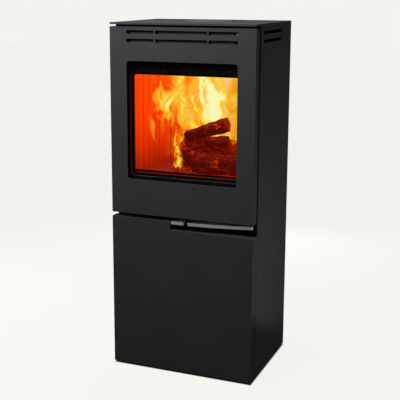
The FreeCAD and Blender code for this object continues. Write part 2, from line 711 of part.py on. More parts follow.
def grip(corners_wire, tray_end):
    face = Part.Face(corners_wire)
    body = face.extrude(point(0, 0, GRIP_HEIGHT))
    hollow = face.makeOffset2D(-GRIP_RIM).extrude(point(0, 0, GRIP_HEIGHT))
    hollow.translate(point(0, 0, GRIP_FLOOR))
    room = block((-HALF, tray_end), (FRONT, CASE_FRONT), (GRIP_BOTTOM, GRIP_TOP + GRIP_HEIGHT))
    return body.cut(hollow.common(room))


def air_lever():
    back = GRIP_FRONT + GRIP_DEPTH
    right = AIR_LEVER_LEFT + AIR_LEVER_WIDTH
    corners = [(AIR_LEVER_LEFT, GRIP_FRONT), (right, GRIP_FRONT), (right + GRIP_SLANT, back),
               (AIR_LEVER_LEFT + GRIP_SLANT, back), (AIR_LEVER_LEFT, GRIP_FRONT)]
    outline = Part.makePolygon([point(x, y, GRIP_BOTTOM) for x, y in corners])
    return grip(outline, right + GRIP_SLANT)


def air_valve():
    face = AIR_PORT - SEAT
    stem = block(span(AIR_ROD_X, AIR_ROD_WIDTH), (GRIP_FRONT + GRIP_DEPTH, face),
                 (AIR_ROD_Z, AIR_ROD_Z + AIR_ROD_THICK))
    return fuse(stem, rod(AIR_PORT_RADIUS + VALVE_OVERLAP, (0, face - VALVE_THICK, AIR_Z), (0, face, AIR_Z)))


# Pellet hopper, auger and electrics

def throat_x():
    return span(AUGER_X, THROAT_WIDTH)


def throat_z():
    return (HOPPER_SLOPE_REAR + HOPPER_SHEET, HOPPER_SLOPE_REAR + HOPPER_SHEET + THROAT_HEIGHT)


def hopper_room(low_by, high_rear, high_front):
    front, rear = HOPPER_FRONT + HOPPER_SHEET, HOPPER_REAR - HOPPER_SHEET
    corners = [(front, HOPPER_SLOPE_FRONT + low_by), (rear, HOPPER_SLOPE_REAR + low_by),
               (rear, high_rear), (front, high_front)]
    left, right = HOPPER_LEFT + HOPPER_SHEET, HOPPER_RIGHT - HOPPER_SHEET
    return plate([(left, y, z) for y, z in corners], (right - left, 0, 0))


def lid_opening():
    return (grow((HOPPER_LEFT, HOPPER_RIGHT), -2 * LID_MARGIN),
            (HOPPER_FRONT + 2 * LID_MARGIN, HOPPER_FRONT + LID_DEPTH - LID_MARGIN))


def pellet_hopper():
    box = block((HOPPER_LEFT, HOPPER_RIGHT), (HOPPER_FRONT, HOPPER_REAR), (BASE_TOP, HOPPER_TOP))
    store = hopper_room(HOPPER_SHEET, HOPPER_TOP - HOPPER_SHEET, HOPPER_TOP - HOPPER_SHEET)
    under = hopper_room(0, BASE_TOP, BASE_TOP)
    fill = block(*lid_opening(), (HOPPER_TOP - HOPPER_SHEET, HOPPER_TOP))
    throat = block(grow(throat_x(), HOPPER_SHEET), (HOPPER_REAR - HOPPER_SHEET, AUGER_Y),
                   grow(throat_z(), HOPPER_SHEET))
    way = block(throat_x(), (HOPPER_REAR - HOPPER_SHEET, AUGER_Y), throat_z())
    box = fuse(cut(box, store, under, fill), throat)
    return cut(box, way, auger_core(AUGER_TUBE_RADIUS, BASE_TOP, AUGER_TOP))


def lid_hinge_rod():
    left, right = grow((HOPPER_LEFT, HOPPER_RIGHT), -LID_MARGIN)
    bar = rod(LID_ROD_RADIUS, (left, LID_ROD_Y, LID_ROD_Z), (right, LID_ROD_Y, LID_ROD_Z))
    posts = []
    for start in (left, right - LID_KNUCKLE):
        posts.append(block((start, start + LID_KNUCKLE), span(LID_ROD_Y, 2 * LID_KNUCKLE),
                           (HOPPER_TOP, LID_ROD_Z + LID_KNUCKLE)))
    return fuse(bar, *posts)


def hopper_lid():
    wide = grow((HOPPER_LEFT, HOPPER_RIGHT), -LID_MARGIN)
    low = HOPPER_TOP + SEAT
    sheet = block(wide, (HOPPER_FRONT + LID_MARGIN, LID_ROD_Y), (low, low + LID_SHEET))
    knuckles = []
    for side in (0, 1):
        start = wide[side] + (1 - 2 * side) * (2 * LID_MARGIN + LID_KNUCKLE)
        end = start + (1 - 2 * side) * LID_KNUCKLE_LENGTH
        knuckles.append(rod(LID_KNUCKLE, (start, LID_ROD_Y, LID_ROD_Z), (end, LID_ROD_Y, LID_ROD_Z)))
    middle = (wide[0] + wide[1]) / 2
    knob_y = HOPPER_FRONT + LID_MARGIN + 2 * LID_KNOB_RADIUS
    knob = rod(LID_KNOB_RADIUS, (middle, knob_y, low), (middle, knob_y, low + LID_SHEET + LID_KNOB_HEIGHT))
    posts = [block((start, start + LID_KNUCKLE), span(LID_ROD_Y, 2 * LID_KNUCKLE), (low, low + LID_KNUCKLE))
             for start in (wide[0], wide[1] - LID_KNUCKLE)]
    room = [solid_grown(post) for post in posts]
    hole = rod(LID_ROD_RADIUS + RUN_FIT, (wide[0], LID_ROD_Y, LID_ROD_Z), (wide[1], LID_ROD_Y, LID_ROD_Z))
    return cut(fuse(sheet, knob, *knuckles), hole, *room)


def solid_grown(solid):
    box = solid.BoundBox
    return block(grow((box.XMin, box.XMax), PASS), grow((box.YMin, box.YMax), PASS),
                 grow((box.ZMin, box.ZMax), PASS))


def auger_tube():
    tube = auger_core(AUGER_TUBE_RADIUS, BASE_TOP, AUGER_TOP)
    bore = auger_core(AUGER_BORE, BASE_TOP + AUGER_FLOOR, AUGER_TOP)
    pivot = auger_core(AUGER_PIVOT + RUN_FIT, BASE_TOP + AUGER_FLOOR - AUGER_PIVOT_LENGTH, BASE_TOP + AUGER_FLOOR)
    feed = block(throat_x(), (HOPPER_REAR, AUGER_Y), throat_z())
    return cut(tube, bore, pivot, feed, chute(-CHUTE_SHEET, CHUTE_MOUTH, AUGER_Y))


def auger_screw():
    low = BASE_TOP + AUGER_FLOOR + AUGER_END_GAP
    high = AUGER_TOP - CHUTE_BELOW_TOP + CHUTE_HEIGHT
    reach = AUGER_BORE - AUGER_FLIGHT_GAP
    core = AUGER_SHAFT - AUGER_FLIGHT_THICK / 2
    helix = Part.makeHelix(AUGER_PITCH, high - low, AUGER_SHAFT)
    corners = [(core, 0, 0), (reach, 0, 0), (reach, 0, AUGER_FLIGHT_THICK), (core, 0, AUGER_FLIGHT_THICK)]
    profile = Part.makePolygon([point(*corner) for corner in corners + corners[:1]])
    flight = Part.Wire(helix.Edges).makePipeShell([profile], True, True)
    flight.translate(point(AUGER_X, AUGER_Y, low))
    shaft = auger_core(AUGER_SHAFT, BASE_TOP + AUGER_FLOOR + SEAT, AUGER_TOP + MOTOR_SOCKET - SEAT)
    pivot = auger_core(AUGER_PIVOT, BASE_TOP + AUGER_FLOOR - AUGER_PIVOT_LENGTH + SEAT, low)
    return fuse(shaft, pivot).fuse(flight)


def auger_motor():
    body = block(span(AUGER_X, MOTOR_SIZE), span(AUGER_Y, MOTOR_SIZE), (AUGER_TOP, AUGER_TOP + MOTOR_HEIGHT))
    return body.cut(auger_core(AUGER_SHAFT + RUN_FIT, AUGER_TOP, AUGER_TOP + MOTOR_SOCKET))


def control_places():
    rear = CASE_BACK - REAR_FLANGE
    return ((-INNER, -INNER + CONTROL_WIDTH), (rear - CONTROL_DEPTH, rear),
            tuple(BASE_TOP + share * STORE_HEIGHT for share in CONTROL_SHARES))


def control_box():
    x, y, z = control_places()
    inside = block((x[0], x[1] - CONTROL_SHEET), grow(y, -CONTROL_SHEET), grow(z, -CONTROL_SHEET))
    return block(x, y, z).cut(inside)


def control_board():
    x, y, z = control_places()
    board = block((x[0] + BOARD_MARGIN, x[0] + BOARD_MARGIN + BOARD_THICK), grow(y, -BOARD_MARGIN),
                  grow(z, -BOARD_MARGIN))
    posts = [rod(CONTROL_SHEET, (x[0], place, level), (x[0] + BOARD_MARGIN, place, level))
             for place in grow(y, -2 * BOARD_MARGIN) for level in grow(z, -2 * BOARD_MARGIN)]
    return fuse(board, *posts)


def power_inlet():
    body = block(span(INLET_X, INLET_WIDTH), (REAR - INLET_DEPTH, REAR), span(INLET_RAISE, INLET_HEIGHT))
    rim = block(grow(span(INLET_X, INLET_WIDTH), INLET_FRAME), (REAR_FACE - INLET_FRAME, REAR_FACE),
                grow(span(INLET_RAISE, INLET_HEIGHT), INLET_FRAME))
    socket = block(grow(span(INLET_X, INLET_WIDTH), -INLET_SOCKET_WALL), (REAR - INLET_SOCKET_DEPTH, REAR),
                   grow(span(INLET_RAISE, INLET_HEIGHT), -INLET_SOCKET_WALL))
    return fuse(body, rim).cut(socket)


# Fire door

def window_x():
    return span(0, WINDOW_WIDTH)


def window_z():
    return (WINDOW_BOTTOM, WINDOW_BOTTOM + WINDOW_HEIGHT)


def slot_rows():
    tops = [DOOR_TOP - SLOT_DROP - row * SLOT_PITCH for row in range(SLOT_ROWS)]
    return [(top - SLOT_HEIGHT, top) for top in tops]


def slot_columns():
    near, far = span(SLOT_BRIDGE_X, SLOT_BRIDGE)
    return [(-SLOT_SPAN / 2, -far), (-near, near), (far, SLOT_SPAN / 2)]


def door_panel():
    outside, height = (-HALF, HALF), (DOOR_BOTTOM, DOOR_TOP)
    panel = block(outside, (FRONT, DOOR_BACK), height)
    room = block(grow(outside, -RETURN_SHEET), (FRONT + DOOR_SHEET, DOOR_BACK), grow(height, -RETURN_SHEET))
    pane = window(window_x(), (FRONT, FRONT + DOOR_SHEET), window_z(), WINDOW_RADIUS)
    slots = [block(column, (FRONT, FRONT + DOOR_SHEET), row) for row in slot_rows() for column in slot_columns()]
    return cut(panel, room, pane, *slots)


def slot_backing():
    rows = slot_rows()
    height = (rows[-1][0] - BACKING_MARGIN, rows[0][1] + BACKING_MARGIN)
    front = FRONT + DOOR_SHEET + BACKING_SETBACK
    through = (front, front + BACKING_SHEET)
    edge = SLOT_SPAN / 2
    sheet = block(span(0, SLOT_SPAN + 2 * BACKING_MARGIN), through, height)
    feet = [block(sided(side, edge + BACKING_MARGIN - BACKING_SHEET, edge + BACKING_MARGIN),
                  (FRONT + DOOR_SHEET, front), height) for side in (-1, 1)]
    gaps = []
    for row in rows:
        for side in (-1, 1):
            gaps.append(block(span(side * SLOT_BRIDGE_X, BACKING_BRIDGE_GAP), through, row))
            gaps.append(block(sided(side, edge - BACKING_END_GAP, edge), through, row))
    return cut(fuse(sheet, *feet), *gaps)


def ring(x, y, z, by, radius, width):
    outer = window(grow(x, by + width), y, grow(z, by + width), radius + width)
    return outer.cut(window(grow(x, by), y, grow(z, by), radius))


def glass_back():
    return FRONT + DOOR_SHEET + GLASS_SEAL + GLASS_THICK


def glass_seal():
    front = FRONT + DOOR_SHEET
    return ring(window_x(), (front, front + GLASS_SEAL), window_z(), GLASS_OVERLAP - GLASS_SEAL_WIDTH,
                WINDOW_RADIUS, GLASS_SEAL_WIDTH)


def door_glass():
    return window(grow(window_x(), GLASS_OVERLAP), (glass_back() - GLASS_THICK, glass_back()),
                  grow(window_z(), GLASS_OVERLAP), WINDOW_RADIUS)


def glass_clips():
    leg_y = (FRONT + DOOR_SHEET, glass_back() + CLIP_SHEET)
    tongue_y = (glass_back(), glass_back() + CLIP_SHEET)
    edge_x = grow(window_x(), GLASS_OVERLAP)[1]
    edge_z = grow(window_z(), GLASS_OVERLAP)
    clips = []
    for side in (-1, 1):
        for share in CLIP_SHARES:
            height = span(WINDOW_BOTTOM + share * WINDOW_HEIGHT, CLIP_LENGTH)
            leg = block(sided(side, edge_x + SEAT, edge_x + CLIP_LEG), leg_y, height)
            clips.append(fuse(leg, block(sided(side, edge_x - CLIP_OVERLAP, edge_x + CLIP_LEG), tongue_y, height)))
    for edge, out in zip(edge_z, (-1, 1)):
        leg_z = tuple(sorted((edge + out * SEAT, edge + out * CLIP_LEG)))
        tongue_z = tuple(sorted((edge - out * CLIP_OVERLAP, edge + out * CLIP_LEG)))
        wide = span(0, CLIP_LENGTH)
        clips.append(fuse(block(wide, leg_y, leg_z), block(wide, tongue_y, tongue_z)))
    return group(clips)


def fire_z():
    return (FIRE_BOTTOM, FIRE_BOTTOM + FIRE_HEIGHT)


def door_frame():
    through = (DOOR_BACK - DOOR_FRAME_SHEET, DOOR_BACK)
    sheet = block(grow((-HALF, HALF), -RETURN_SHEET), through, grow((DOOR_BOTTOM, DOOR_TOP), -RETURN_SHEET))
    fire = window(grow(span(0, FIRE_WIDTH), DOOR_SEAL_MARGIN), through, grow(fire_z(), DOOR_SEAL_MARGIN),
                  FIRE_RADIUS + DOOR_SEAL_MARGIN)
    air = block(span(0, SLOT_SPAN), through, (slot_rows()[-1][0], slot_rows()[0][1]))
    return cut(sheet, fire, air)


def door_seal():
    return ring(span(0, FIRE_WIDTH), (DOOR_BACK, CASE_FRONT - SEAT), fire_z(), DOOR_SEAL_MARGIN,
                FIRE_RADIUS + DOOR_SEAL_MARGIN, DOOR_SEAL_WIDTH)


# Hinges, the same for both doors

def hinge_axis(radius, low, high):
    return rod(radius, (HINGE_X, HINGE_Y, low), (HINGE_X, HINGE_Y, high))


def hinge_lugs(heights):
    lugs = []
    for z in heights:
        low, high = span(z, HINGE_LUG)
        leaf = block((HINGE_X, HINGE_X + HINGE_LEAF_REACH), (DOOR_BACK, DOOR_BACK + HINGE_LEAF), (low, high))
        lug = fuse(hinge_axis(KNUCKLE_RADIUS, low, high), leaf)
        lugs.append(lug.cut(hinge_axis(HINGE_PIN_RADIUS + RUN_FIT, low, high)))
    return group(lugs)


def hinge_brackets():
    brackets = []
    for z in FIRE_HINGE_HEIGHTS + LOWER_HINGE_HEIGHTS:
        inside = grow(span(z, HINGE_LUG), SEAT)
        low, high = grow(inside, HINGE_EAR)
        leaf = block((HINGE_X, HINGE_X + HINGE_LEAF_REACH), (CASE_FRONT - HINGE_LEAF, CASE_FRONT), (low, high))
        bracket = fuse(hinge_axis(KNUCKLE_RADIUS, low, high), leaf)
        room = hinge_axis(KNUCKLE_RADIUS + SEAT, *inside)
        brackets.append(cut(bracket, room, hinge_axis(HINGE_PIN_RADIUS, low, high)))
    return group(brackets)


def hinge_pins():
    pins = []
    for z in FIRE_HINGE_HEIGHTS + LOWER_HINGE_HEIGHTS:
        low, high = span(z, HINGE_LUG + 2 * SEAT + 2 * HINGE_EAR)
        pins.append(fuse(hinge_axis(HINGE_PIN_RADIUS, low, high),
                         hinge_axis(HINGE_HEAD_RADIUS, high, high + HINGE_HEAD)))
    return group(pins)


# Handle and latch

def handle_outline():
    eye = point(HANDLE_PIN_X, HANDLE_PIN_Y, GRIP_BOTTOM)
    out = point(0, HANDLE_EYE_RADIUS, 0)
    side = point(HANDLE_EYE_RADIUS, 0, 0)
    bow, back_bow = point(0, HANDLE_BOW, 0), point(0, HANDLE_BACK_BOW, 0)
    front_end = point(HANDLE_LEFT, GRIP_FRONT, GRIP_BOTTOM)
    back_end = point(HANDLE_LEFT + GRIP_SLANT, GRIP_FRONT + GRIP_DEPTH, GRIP_BOTTOM)
    front = Part.Arc(front_end, (front_end + eye - out) * 0.5 - bow, eye - out)
    cap = Part.Arc(eye - out, eye + side, eye + out)
    back = Part.Arc(eye + out, (eye + out + back_end) * 0.5 - back_bow, back_end)
    end = Part.LineSegment(back_end, front_end)
    return Part.Wire([curve.toShape() for curve in (front, cap, back, end)])


def handle_axis(radius, low, high):
    return rod(radius, (HANDLE_PIN_X, HANDLE_PIN_Y, low), (HANDLE_PIN_X, HANDLE_PIN_Y, high))


def door_handle():
    hole = handle_axis(HANDLE_PIN_RADIUS + RUN_FIT, GRIP_BOTTOM, GRIP_TOP)
    return grip(handle_outline(), HANDLE_TRAY_END).cut(hole)


def latch_cam():
    height = (GRIP_BOTTOM - CAM_THICK, GRIP_BOTTOM)
    nose = block((HANDLE_PIN_X, HANDLE_PIN_X + CAM_REACH), span(HANDLE_PIN_Y, CAM_WIDTH), height)
    cam = fuse(handle_axis(HANDLE_EYE_RADIUS, *height), nose)
    return cam.cut(handle_axis(HANDLE_PIN_RADIUS + RUN_FIT, *height))


def handle_pin():
    neck = GRIP_BOTTOM - CAM_THICK - SEAT
    head = handle_axis(HANDLE_EYE_RADIUS, neck - HANDLE_PIN_HEAD, neck)
    return fuse(head, handle_axis(HANDLE_PIN_RADIUS, neck, GRIP_TOP + SEAT + HANDLE_EAR))


def handle_bracket():
    low = GRIP_TOP + SEAT
    ear = handle_axis(HANDLE_EYE_RADIUS, low, low + HANDLE_EAR)
    leaf = block(span(HANDLE_PIN_X, HANDLE_LEAF_WIDTH), (DOOR_BACK, DOOR_BACK + DOOR_FRAME_SHEET),
                 (low, DOOR_BOTTOM + HANDLE_LEAF_RISE))
    return fuse(ear, leaf).cut(handle_axis(HANDLE_PIN_RADIUS, low, low + HANDLE_EAR))


def latch_keeper():
    return block((HANDLE_PIN_X + CAM_REACH + HOLE_CLEAR, INNER), (HANDLE_PIN_Y - CAM_WIDTH, CASE_FRONT),
                 span(GRIP_BOTTOM - CAM_THICK / 2, KEEPER_HEIGHT))


# Lower door

def lower_outline(inset, y):
    left, right, bottom = -HALF + inset, HALF - inset, FLOOR_GAP + inset
    corners = [(left, bottom), (right, bottom), (right, NOTCH_FLOOR - inset),
               (NOTCH_LEFT - inset, NOTCH_FLOOR - inset), (NOTCH_LEFT - inset, LOWER_TOP - inset),
               (left, LOWER_TOP - inset)]
    return [(x, y, z) for x, z in corners]


def lower_door_panel():
    panel = plate(lower_outline(0, FRONT), (0, DOOR_DEPTH, 0))
    room = plate(lower_outline(RETURN_SHEET, FRONT + DOOR_SHEET), (0, DOOR_DEPTH - DOOR_SHEET, 0))
    closing = block((HALF - RETURN_SHEET, HALF), (DOOR_BACK, CASE_FRONT - CLOSING_GAP), (FLOOR_GAP, NOTCH_FLOOR))
    return fuse(panel.cut(room), closing)


def lower_door_frame():
    through = (DOOR_BACK - DOOR_FRAME_SHEET, DOOR_BACK)
    wide, high = grow((-HALF, HALF), -RETURN_SHEET), grow((FLOOR_GAP, NOTCH_FLOOR), -RETURN_SHEET)
    return block(wide, through, high).cut(block(grow(wide, -LOWER_FRAME_WIDTH), through,
                                                grow(high, -LOWER_FRAME_WIDTH)))


def magnet_x():
    return span(INNER - LOWER_FRAME_WIDTH / 4, MAGNET_WIDTH)


def door_magnet():
    return block(magnet_x(), (DOOR_BACK + STRIKE_SHEET + SEAT, CASE_FRONT), span(MAGNET_RAISE, MAGNET_HEIGHT))


def magnet_strike():
    return block(grow(magnet_x(), STRIKE_MARGIN), (DOOR_BACK, DOOR_BACK + STRIKE_SHEET),
                 grow(span(MAGNET_RAISE, MAGNET_HEIGHT), STRIKE_MARGIN))


PIECES = {
    "base_plate": base_plate(),
    "levelling_feet": levelling_feet(),
    "left_side_panel": side_panel(-1),
    "right_side_panel": side_panel(1),
    "rear_panel": rear_panel(),
    "top_plate": top_plate(),
    "flue_cover": flue_cover(),
    "casing_screws": casing_screws(),
    "front_frame": front_frame(),
    "shelf": shelf(),
    "firebox_shell": firebox_shell(),
    "flue_spigot": flue_spigot(),
    "blanking_plate": blanking_plate(),
    "left_brick": side_brick(-1),
    "right_brick": side_brick(1),
    "rear_brick": rear_brick(),
    "floor_bricks": floor_bricks(),
    "baffle_brick": baffle_brick(),
    "fire_grate": fire_grate(),
    "log_guard": log_guard(),
    "ash_housing": ash_housing(),
    "ash_drawer": ash_drawer(),
    "air_box": air_box(),
    "fan_housing": fan_housing(),
    "fan_motor": fan_motor(),
    "fan_impeller": fan_impeller(),
    "air_intake_spigot": air_intake_spigot(),
    "air_lever": air_lever(),
    "air_valve": air_valve(),
    "pellet_hopper": pellet_hopper(),
    "lid_hinge_rod": lid_hinge_rod(),
    "hopper_lid": hopper_lid(),
    "auger_tube": auger_tube(),
    "auger_screw": auger_screw(),
    "auger_motor": auger_motor(),
    "drop_chute": drop_chute(),
    "igniter": igniter(),
    "control_box": control_box(),
    "control_board": control_board(),
    "power_inlet": power_inlet(),
    "door_panel": door_panel(),
    "slot_backing": slot_backing(),
    "glass_seal": glass_seal(),
    "door_glass": door_glass(),
    "glass_clips": glass_clips(),
    "door_frame": door_frame(),
    "door_seal": door_seal(),
    "fire_hinge_lugs": hinge_lugs(FIRE_HINGE_HEIGHTS),
    "lower_hinge_lugs": hinge_lugs(LOWER_HINGE_HEIGHTS),
    "hinge_brackets": hinge_brackets(),
    "hinge_pins": hinge_pins(),
    "door_handle": door_handle(),
    "latch_cam": latch_cam(),
    "handle_pin": handle_pin(),
    "handle_bracket": handle_bracket(),
    "latch_keeper": latch_keeper(),
    "lower_door_panel": lower_door_panel(),
    "lower_door_frame": lower_door_frame(),
    "magnet_strike": magnet_strike(),
    "door_magnet": door_magnet(),
}

os.makedirs("parts", exist_ok=True)
for name, shape in PIECES.items():
    shape.exportStep("parts/" + name + ".step")
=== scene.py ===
import json
import math
import random

import bpy
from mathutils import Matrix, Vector


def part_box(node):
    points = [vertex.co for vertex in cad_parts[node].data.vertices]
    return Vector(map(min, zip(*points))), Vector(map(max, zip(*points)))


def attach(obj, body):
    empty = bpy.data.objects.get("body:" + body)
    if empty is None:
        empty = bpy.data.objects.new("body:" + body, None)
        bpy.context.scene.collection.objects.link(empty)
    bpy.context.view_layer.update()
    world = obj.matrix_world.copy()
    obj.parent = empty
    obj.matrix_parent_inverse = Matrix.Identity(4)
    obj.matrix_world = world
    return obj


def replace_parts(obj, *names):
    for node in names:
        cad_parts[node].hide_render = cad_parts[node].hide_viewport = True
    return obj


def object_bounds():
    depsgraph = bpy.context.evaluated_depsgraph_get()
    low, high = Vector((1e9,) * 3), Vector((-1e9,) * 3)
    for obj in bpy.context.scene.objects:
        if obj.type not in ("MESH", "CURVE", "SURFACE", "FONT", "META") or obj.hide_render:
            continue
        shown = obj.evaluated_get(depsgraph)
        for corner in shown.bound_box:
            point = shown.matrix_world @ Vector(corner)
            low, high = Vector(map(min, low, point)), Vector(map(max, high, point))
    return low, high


# Looks of the hybrid stove: paint, steel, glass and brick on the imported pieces,
# and the log fire behind the glass.

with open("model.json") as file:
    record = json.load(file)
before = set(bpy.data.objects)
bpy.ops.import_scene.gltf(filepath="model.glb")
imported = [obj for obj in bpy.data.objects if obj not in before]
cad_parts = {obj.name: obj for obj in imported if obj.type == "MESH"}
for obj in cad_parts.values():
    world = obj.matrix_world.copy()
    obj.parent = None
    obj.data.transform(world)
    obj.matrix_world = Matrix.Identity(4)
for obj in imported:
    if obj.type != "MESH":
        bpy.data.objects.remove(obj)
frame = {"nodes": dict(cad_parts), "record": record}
cad_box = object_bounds()


# Shader maths

EDGE_SAMPLES = 4
EDGE_SHARE = (0.02, 0.25)
FINE_EDGE = 0.0009


def linear(part):
    return part / 12.92 if part <= 0.04045 else ((part + 0.055) / 1.055) ** 2.4


def tone(red, green, blue):
    """A colour as a paint chart gives it, 0 to 255, in the linear values that shaders take."""
    return tuple(linear(part / 255) for part in (red, green, blue)) + (1.0,)


def shade(colour, factor):
    """The colour made lighter or darker."""
    return tuple(part * factor for part in colour[:3]) + (1.0,)


class Value:
    """A socket that Python's operators work on."""

    def __init__(self, owner, socket):
        self.owner = owner
        self.socket = socket

    def maths(self, operation, first, second):
        return self.owner.node("ShaderNodeMath", {"operation": operation}, {0: first, 1: second})

    def __add__(self, other):
        return self.maths("ADD", self, other)

    def __radd__(self, other):
        return self.maths("ADD", other, self)

    def __sub__(self, other):
        return self.maths("SUBTRACT", self, other)

    def __rsub__(self, other):
        return self.maths("SUBTRACT", other, self)

    def __mul__(self, other):
        return self.maths("MULTIPLY", self, other)

    def __rmul__(self, other):
        return self.maths("MULTIPLY", other, self)

    def __truediv__(self, other):
        return self.maths("DIVIDE", self, other)

    def __pow__(self, other):
        return self.maths("POWER", self, other)

    def __abs__(self):
        return self.maths("ABSOLUTE", self, 0.0)

    def wave(self):
        return self.maths("SINE", self, 0.0)

    def between(self, low, high):
        """0 at low and 1 at high, smooth in between."""
        return self.owner.node("ShaderNodeMapRange", {"interpolation_type": "SMOOTHSTEP"},
                               {"Value": self, "From Min": low, "From Max": high})


class Nodes:
    """A node tree, of a material or of the world."""

    def __init__(self, tree):
        self.tree = tree
        tree.nodes.clear()

    def node(self, kind, settings=None, inputs=None, output=0):
        made = self.tree.nodes.new(kind)
        for name, value in (settings or {}).items():
            if name == "stops":
                self.set_stops(made.color_ramp.elements, value)
            else:
                setattr(made, name, value)
        for name, value in (inputs or {}).items():
            if isinstance(value, Value):
                self.tree.links.new(value.socket, made.inputs[name])
            else:
                made.inputs[name].default_value = value
        return Value(self, made.outputs[output])

    @staticmethod
    def set_stops(elements, stops):
        while len(elements) < len(stops):
            elements.new(1.0)
        for element, (position, colour) in zip(elements, stops):
            element.position, element.color = position, (*colour, 1.0)

    def mix(self, first, second, share):
        return self.node("ShaderNodeMix", {"data_type": "RGBA"}, {0: share, 6: first, 7: second}, 2)

    def lead_out(self, kind, shader):
        out = self.tree.nodes.new(kind)
        self.tree.links.new(shader.socket, out.inputs["Surface"])


class Finish(Nodes):
    """One material, built from nodes."""

    def __init__(self, name):
        self.material = bpy.data.materials.new(name)
        self.material.use_nodes = True
        super().__init__(self.material.node_tree)
        self.place = self.node("ShaderNodeTexCoord", output="Object")

    def axis(self, name):
        return self.node("ShaderNodeSeparateXYZ", inputs={"Vector": self.place}, output=name)

    def facing(self, axis):
        """How far the surface faces along one of its piece's axes, from -1 to 1."""
        normal = self.node("ShaderNodeTexCoord", output="Normal")
        return self.node("ShaderNodeSeparateXYZ", inputs={"Vector": normal}, output=axis)

    def stretched(self, size, shift=(0, 0, 0), place=None):
        inputs = {"Vector": place or self.place, "Scale": size, "Location": shift}
        return self.node("ShaderNodeMapping", inputs=inputs)

    def noise(self, scale, detail, place=None, twist=0.0, output="Fac"):
        inputs = {"Vector": place or self.place, "Scale": scale, "Detail": detail, "Distortion": twist}
        return self.node("ShaderNodeTexNoise", inputs=inputs, output=output)

    def cells(self, scale, feature, place):
        return self.node("ShaderNodeTexVoronoi", {"feature": feature},
                         {"Vector": place, "Scale": scale}, "Distance")

    def ramp(self, value, stops):
        return self.node("ShaderNodeValToRGB", {"stops": stops}, {"Fac": value})

    def bump(self, height, strength, distance):
        inputs = {"Height": height, "Strength": strength, "Distance": distance}
        return self.node("ShaderNodeBump", inputs=inputs)

    def edges(self, radius):
        """1 on sharp outer edges, 0 on flat faces."""
        rounded = self.node("ShaderNodeBevel", {"samples": EDGE_SAMPLES}, {"Radius": radius})
        flat = self.node("ShaderNodeNewGeometry", output="Normal")
        along = self.node("ShaderNodeVectorMath", {"operation": "DOT_PRODUCT"},
                          {0: rounded, 1: flat}, "Value")
        return (1 - along).between(*EDGE_SHARE)

    def surface(self, **inputs):
        named = {name.replace("_", " "): value for name, value in inputs.items()}
        return self.node("ShaderNodeBsdfPrincipled", inputs=named)

    def finish(self, shader):
        self.lead_out("ShaderNodeOutputMaterial", shader)
        return self.material


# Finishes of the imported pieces

GRAIN_SIZE = 900.0
GRAIN_BUMP = (0.12, 0.0003)


def stove_paint(name, colour, worn, rough, gloss):
    """Heat-proof paint with a fine sprayed grain, cloudy sheen and edges rubbed lighter."""
    paint = Finish(name)
    cloud = paint.noise(6.0, 3.0)
    grain = paint.noise(GRAIN_SIZE, 2.0)
    patch = paint.noise(45.0, 4.0)
    edge = paint.edges(FINE_EDGE) * patch.between(0.3, 0.6)
    body = paint.mix(colour, shade(colour, 1.1), cloud.between(0.35, 0.7))
    return paint.finish(paint.surface(
        Base_Color=paint.mix(body, worn, edge * 0.55),
        Roughness=rough + (cloud - 0.5) * 0.12 - edge * 0.08,
        Specular_IOR_Level=gloss,
        Normal=paint.bump(grain, *GRAIN_BUMP)))


def satin_steel(name, colour, rough, along, metal=1.0):
    """Steel with drawn brush lines, lighter on its edges: a painted highlight."""
    steel = Finish(name)
    lines = steel.noise(160.0, 3.0, steel.stretched(along))
    smear = steel.noise(24.0, 2.0)
    edge = steel.edges(FINE_EDGE)
    body = steel.mix(shade(colour, 0.72), colour, lines.between(0.25, 0.75))
    return steel.finish(steel.surface(
        # The edges mixed towards near-white are a painted highlight.
        Base_Color=steel.mix(body, tone(228, 228, 226), edge * 0.6),
        Metallic=metal,
        Roughness=rough + (lines - 0.5) * 0.16 + (smear - 0.5) * 0.1,
        Normal=steel.bump(lines, 0.08, 0.0002)))


# How far the painted reflection on the cover's middle reaches, and where the painted shadow along its rim
# lies, as shares of its radius.
COVER_PAINTED_REFLECTION = (0.3, 0.75)
COVER_RIM_PAINTED_SHADOW = (0.85, 0.93)


def cover_paint_with_painted_light(name, node):
    """Paint on a round cover: paler in blotches over its middle, a painted reflection, and dark along its
    rim, a painted shadow.
    """
    paint = Finish(name)
    low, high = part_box(node)
    middle, radius = (low + high) / 2, (high.x - low.x) / 2
    away = ((paint.axis("X") - middle.x) ** 2.0 + (paint.axis("Y") - middle.y) ** 2.0) ** 0.5 / radius
    blotch = paint.noise(18.0, 4.0)
    grain = paint.noise(GRAIN_SIZE, 2.0)
    # Paler towards the middle: painted reflection.
    outside_painted_reflection = (away + (blotch - 0.5) * 0.3).between(*COVER_PAINTED_REFLECTION)
    painted_reflection_tone = paint.mix(tone(82, 82, 82), tone(70, 70, 71), outside_painted_reflection)
    return paint.finish(paint.surface(
        # Dark along the rim: painted shadow.
        Base_Color=paint.mix(painted_reflection_tone, tone(20, 20, 20), away.between(*COVER_RIM_PAINTED_SHADOW)),
        Roughness=0.7 + (blotch - 0.5) * 0.15,
        Specular_IOR_Level=0.03,
        Normal=paint.bump(grain, *GRAIN_BUMP)))


# Where the painted firelight lies on the fire opening's left sides, and how it fades at the window's foot
# and top.
PAINTED_FIRELIGHT_LEFT = (-0.1, -0.15)
PAINTED_FIRELIGHT_FADE_LOW, PAINTED_FIRELIGHT_FADE_HIGH = 0.02, 0.01
SOOT_PAINTED_FIRELIGHT = ((0.0, (0.0, 0.0, 0.0)), (1.0, (0.09, 0.003, 0.0005)))


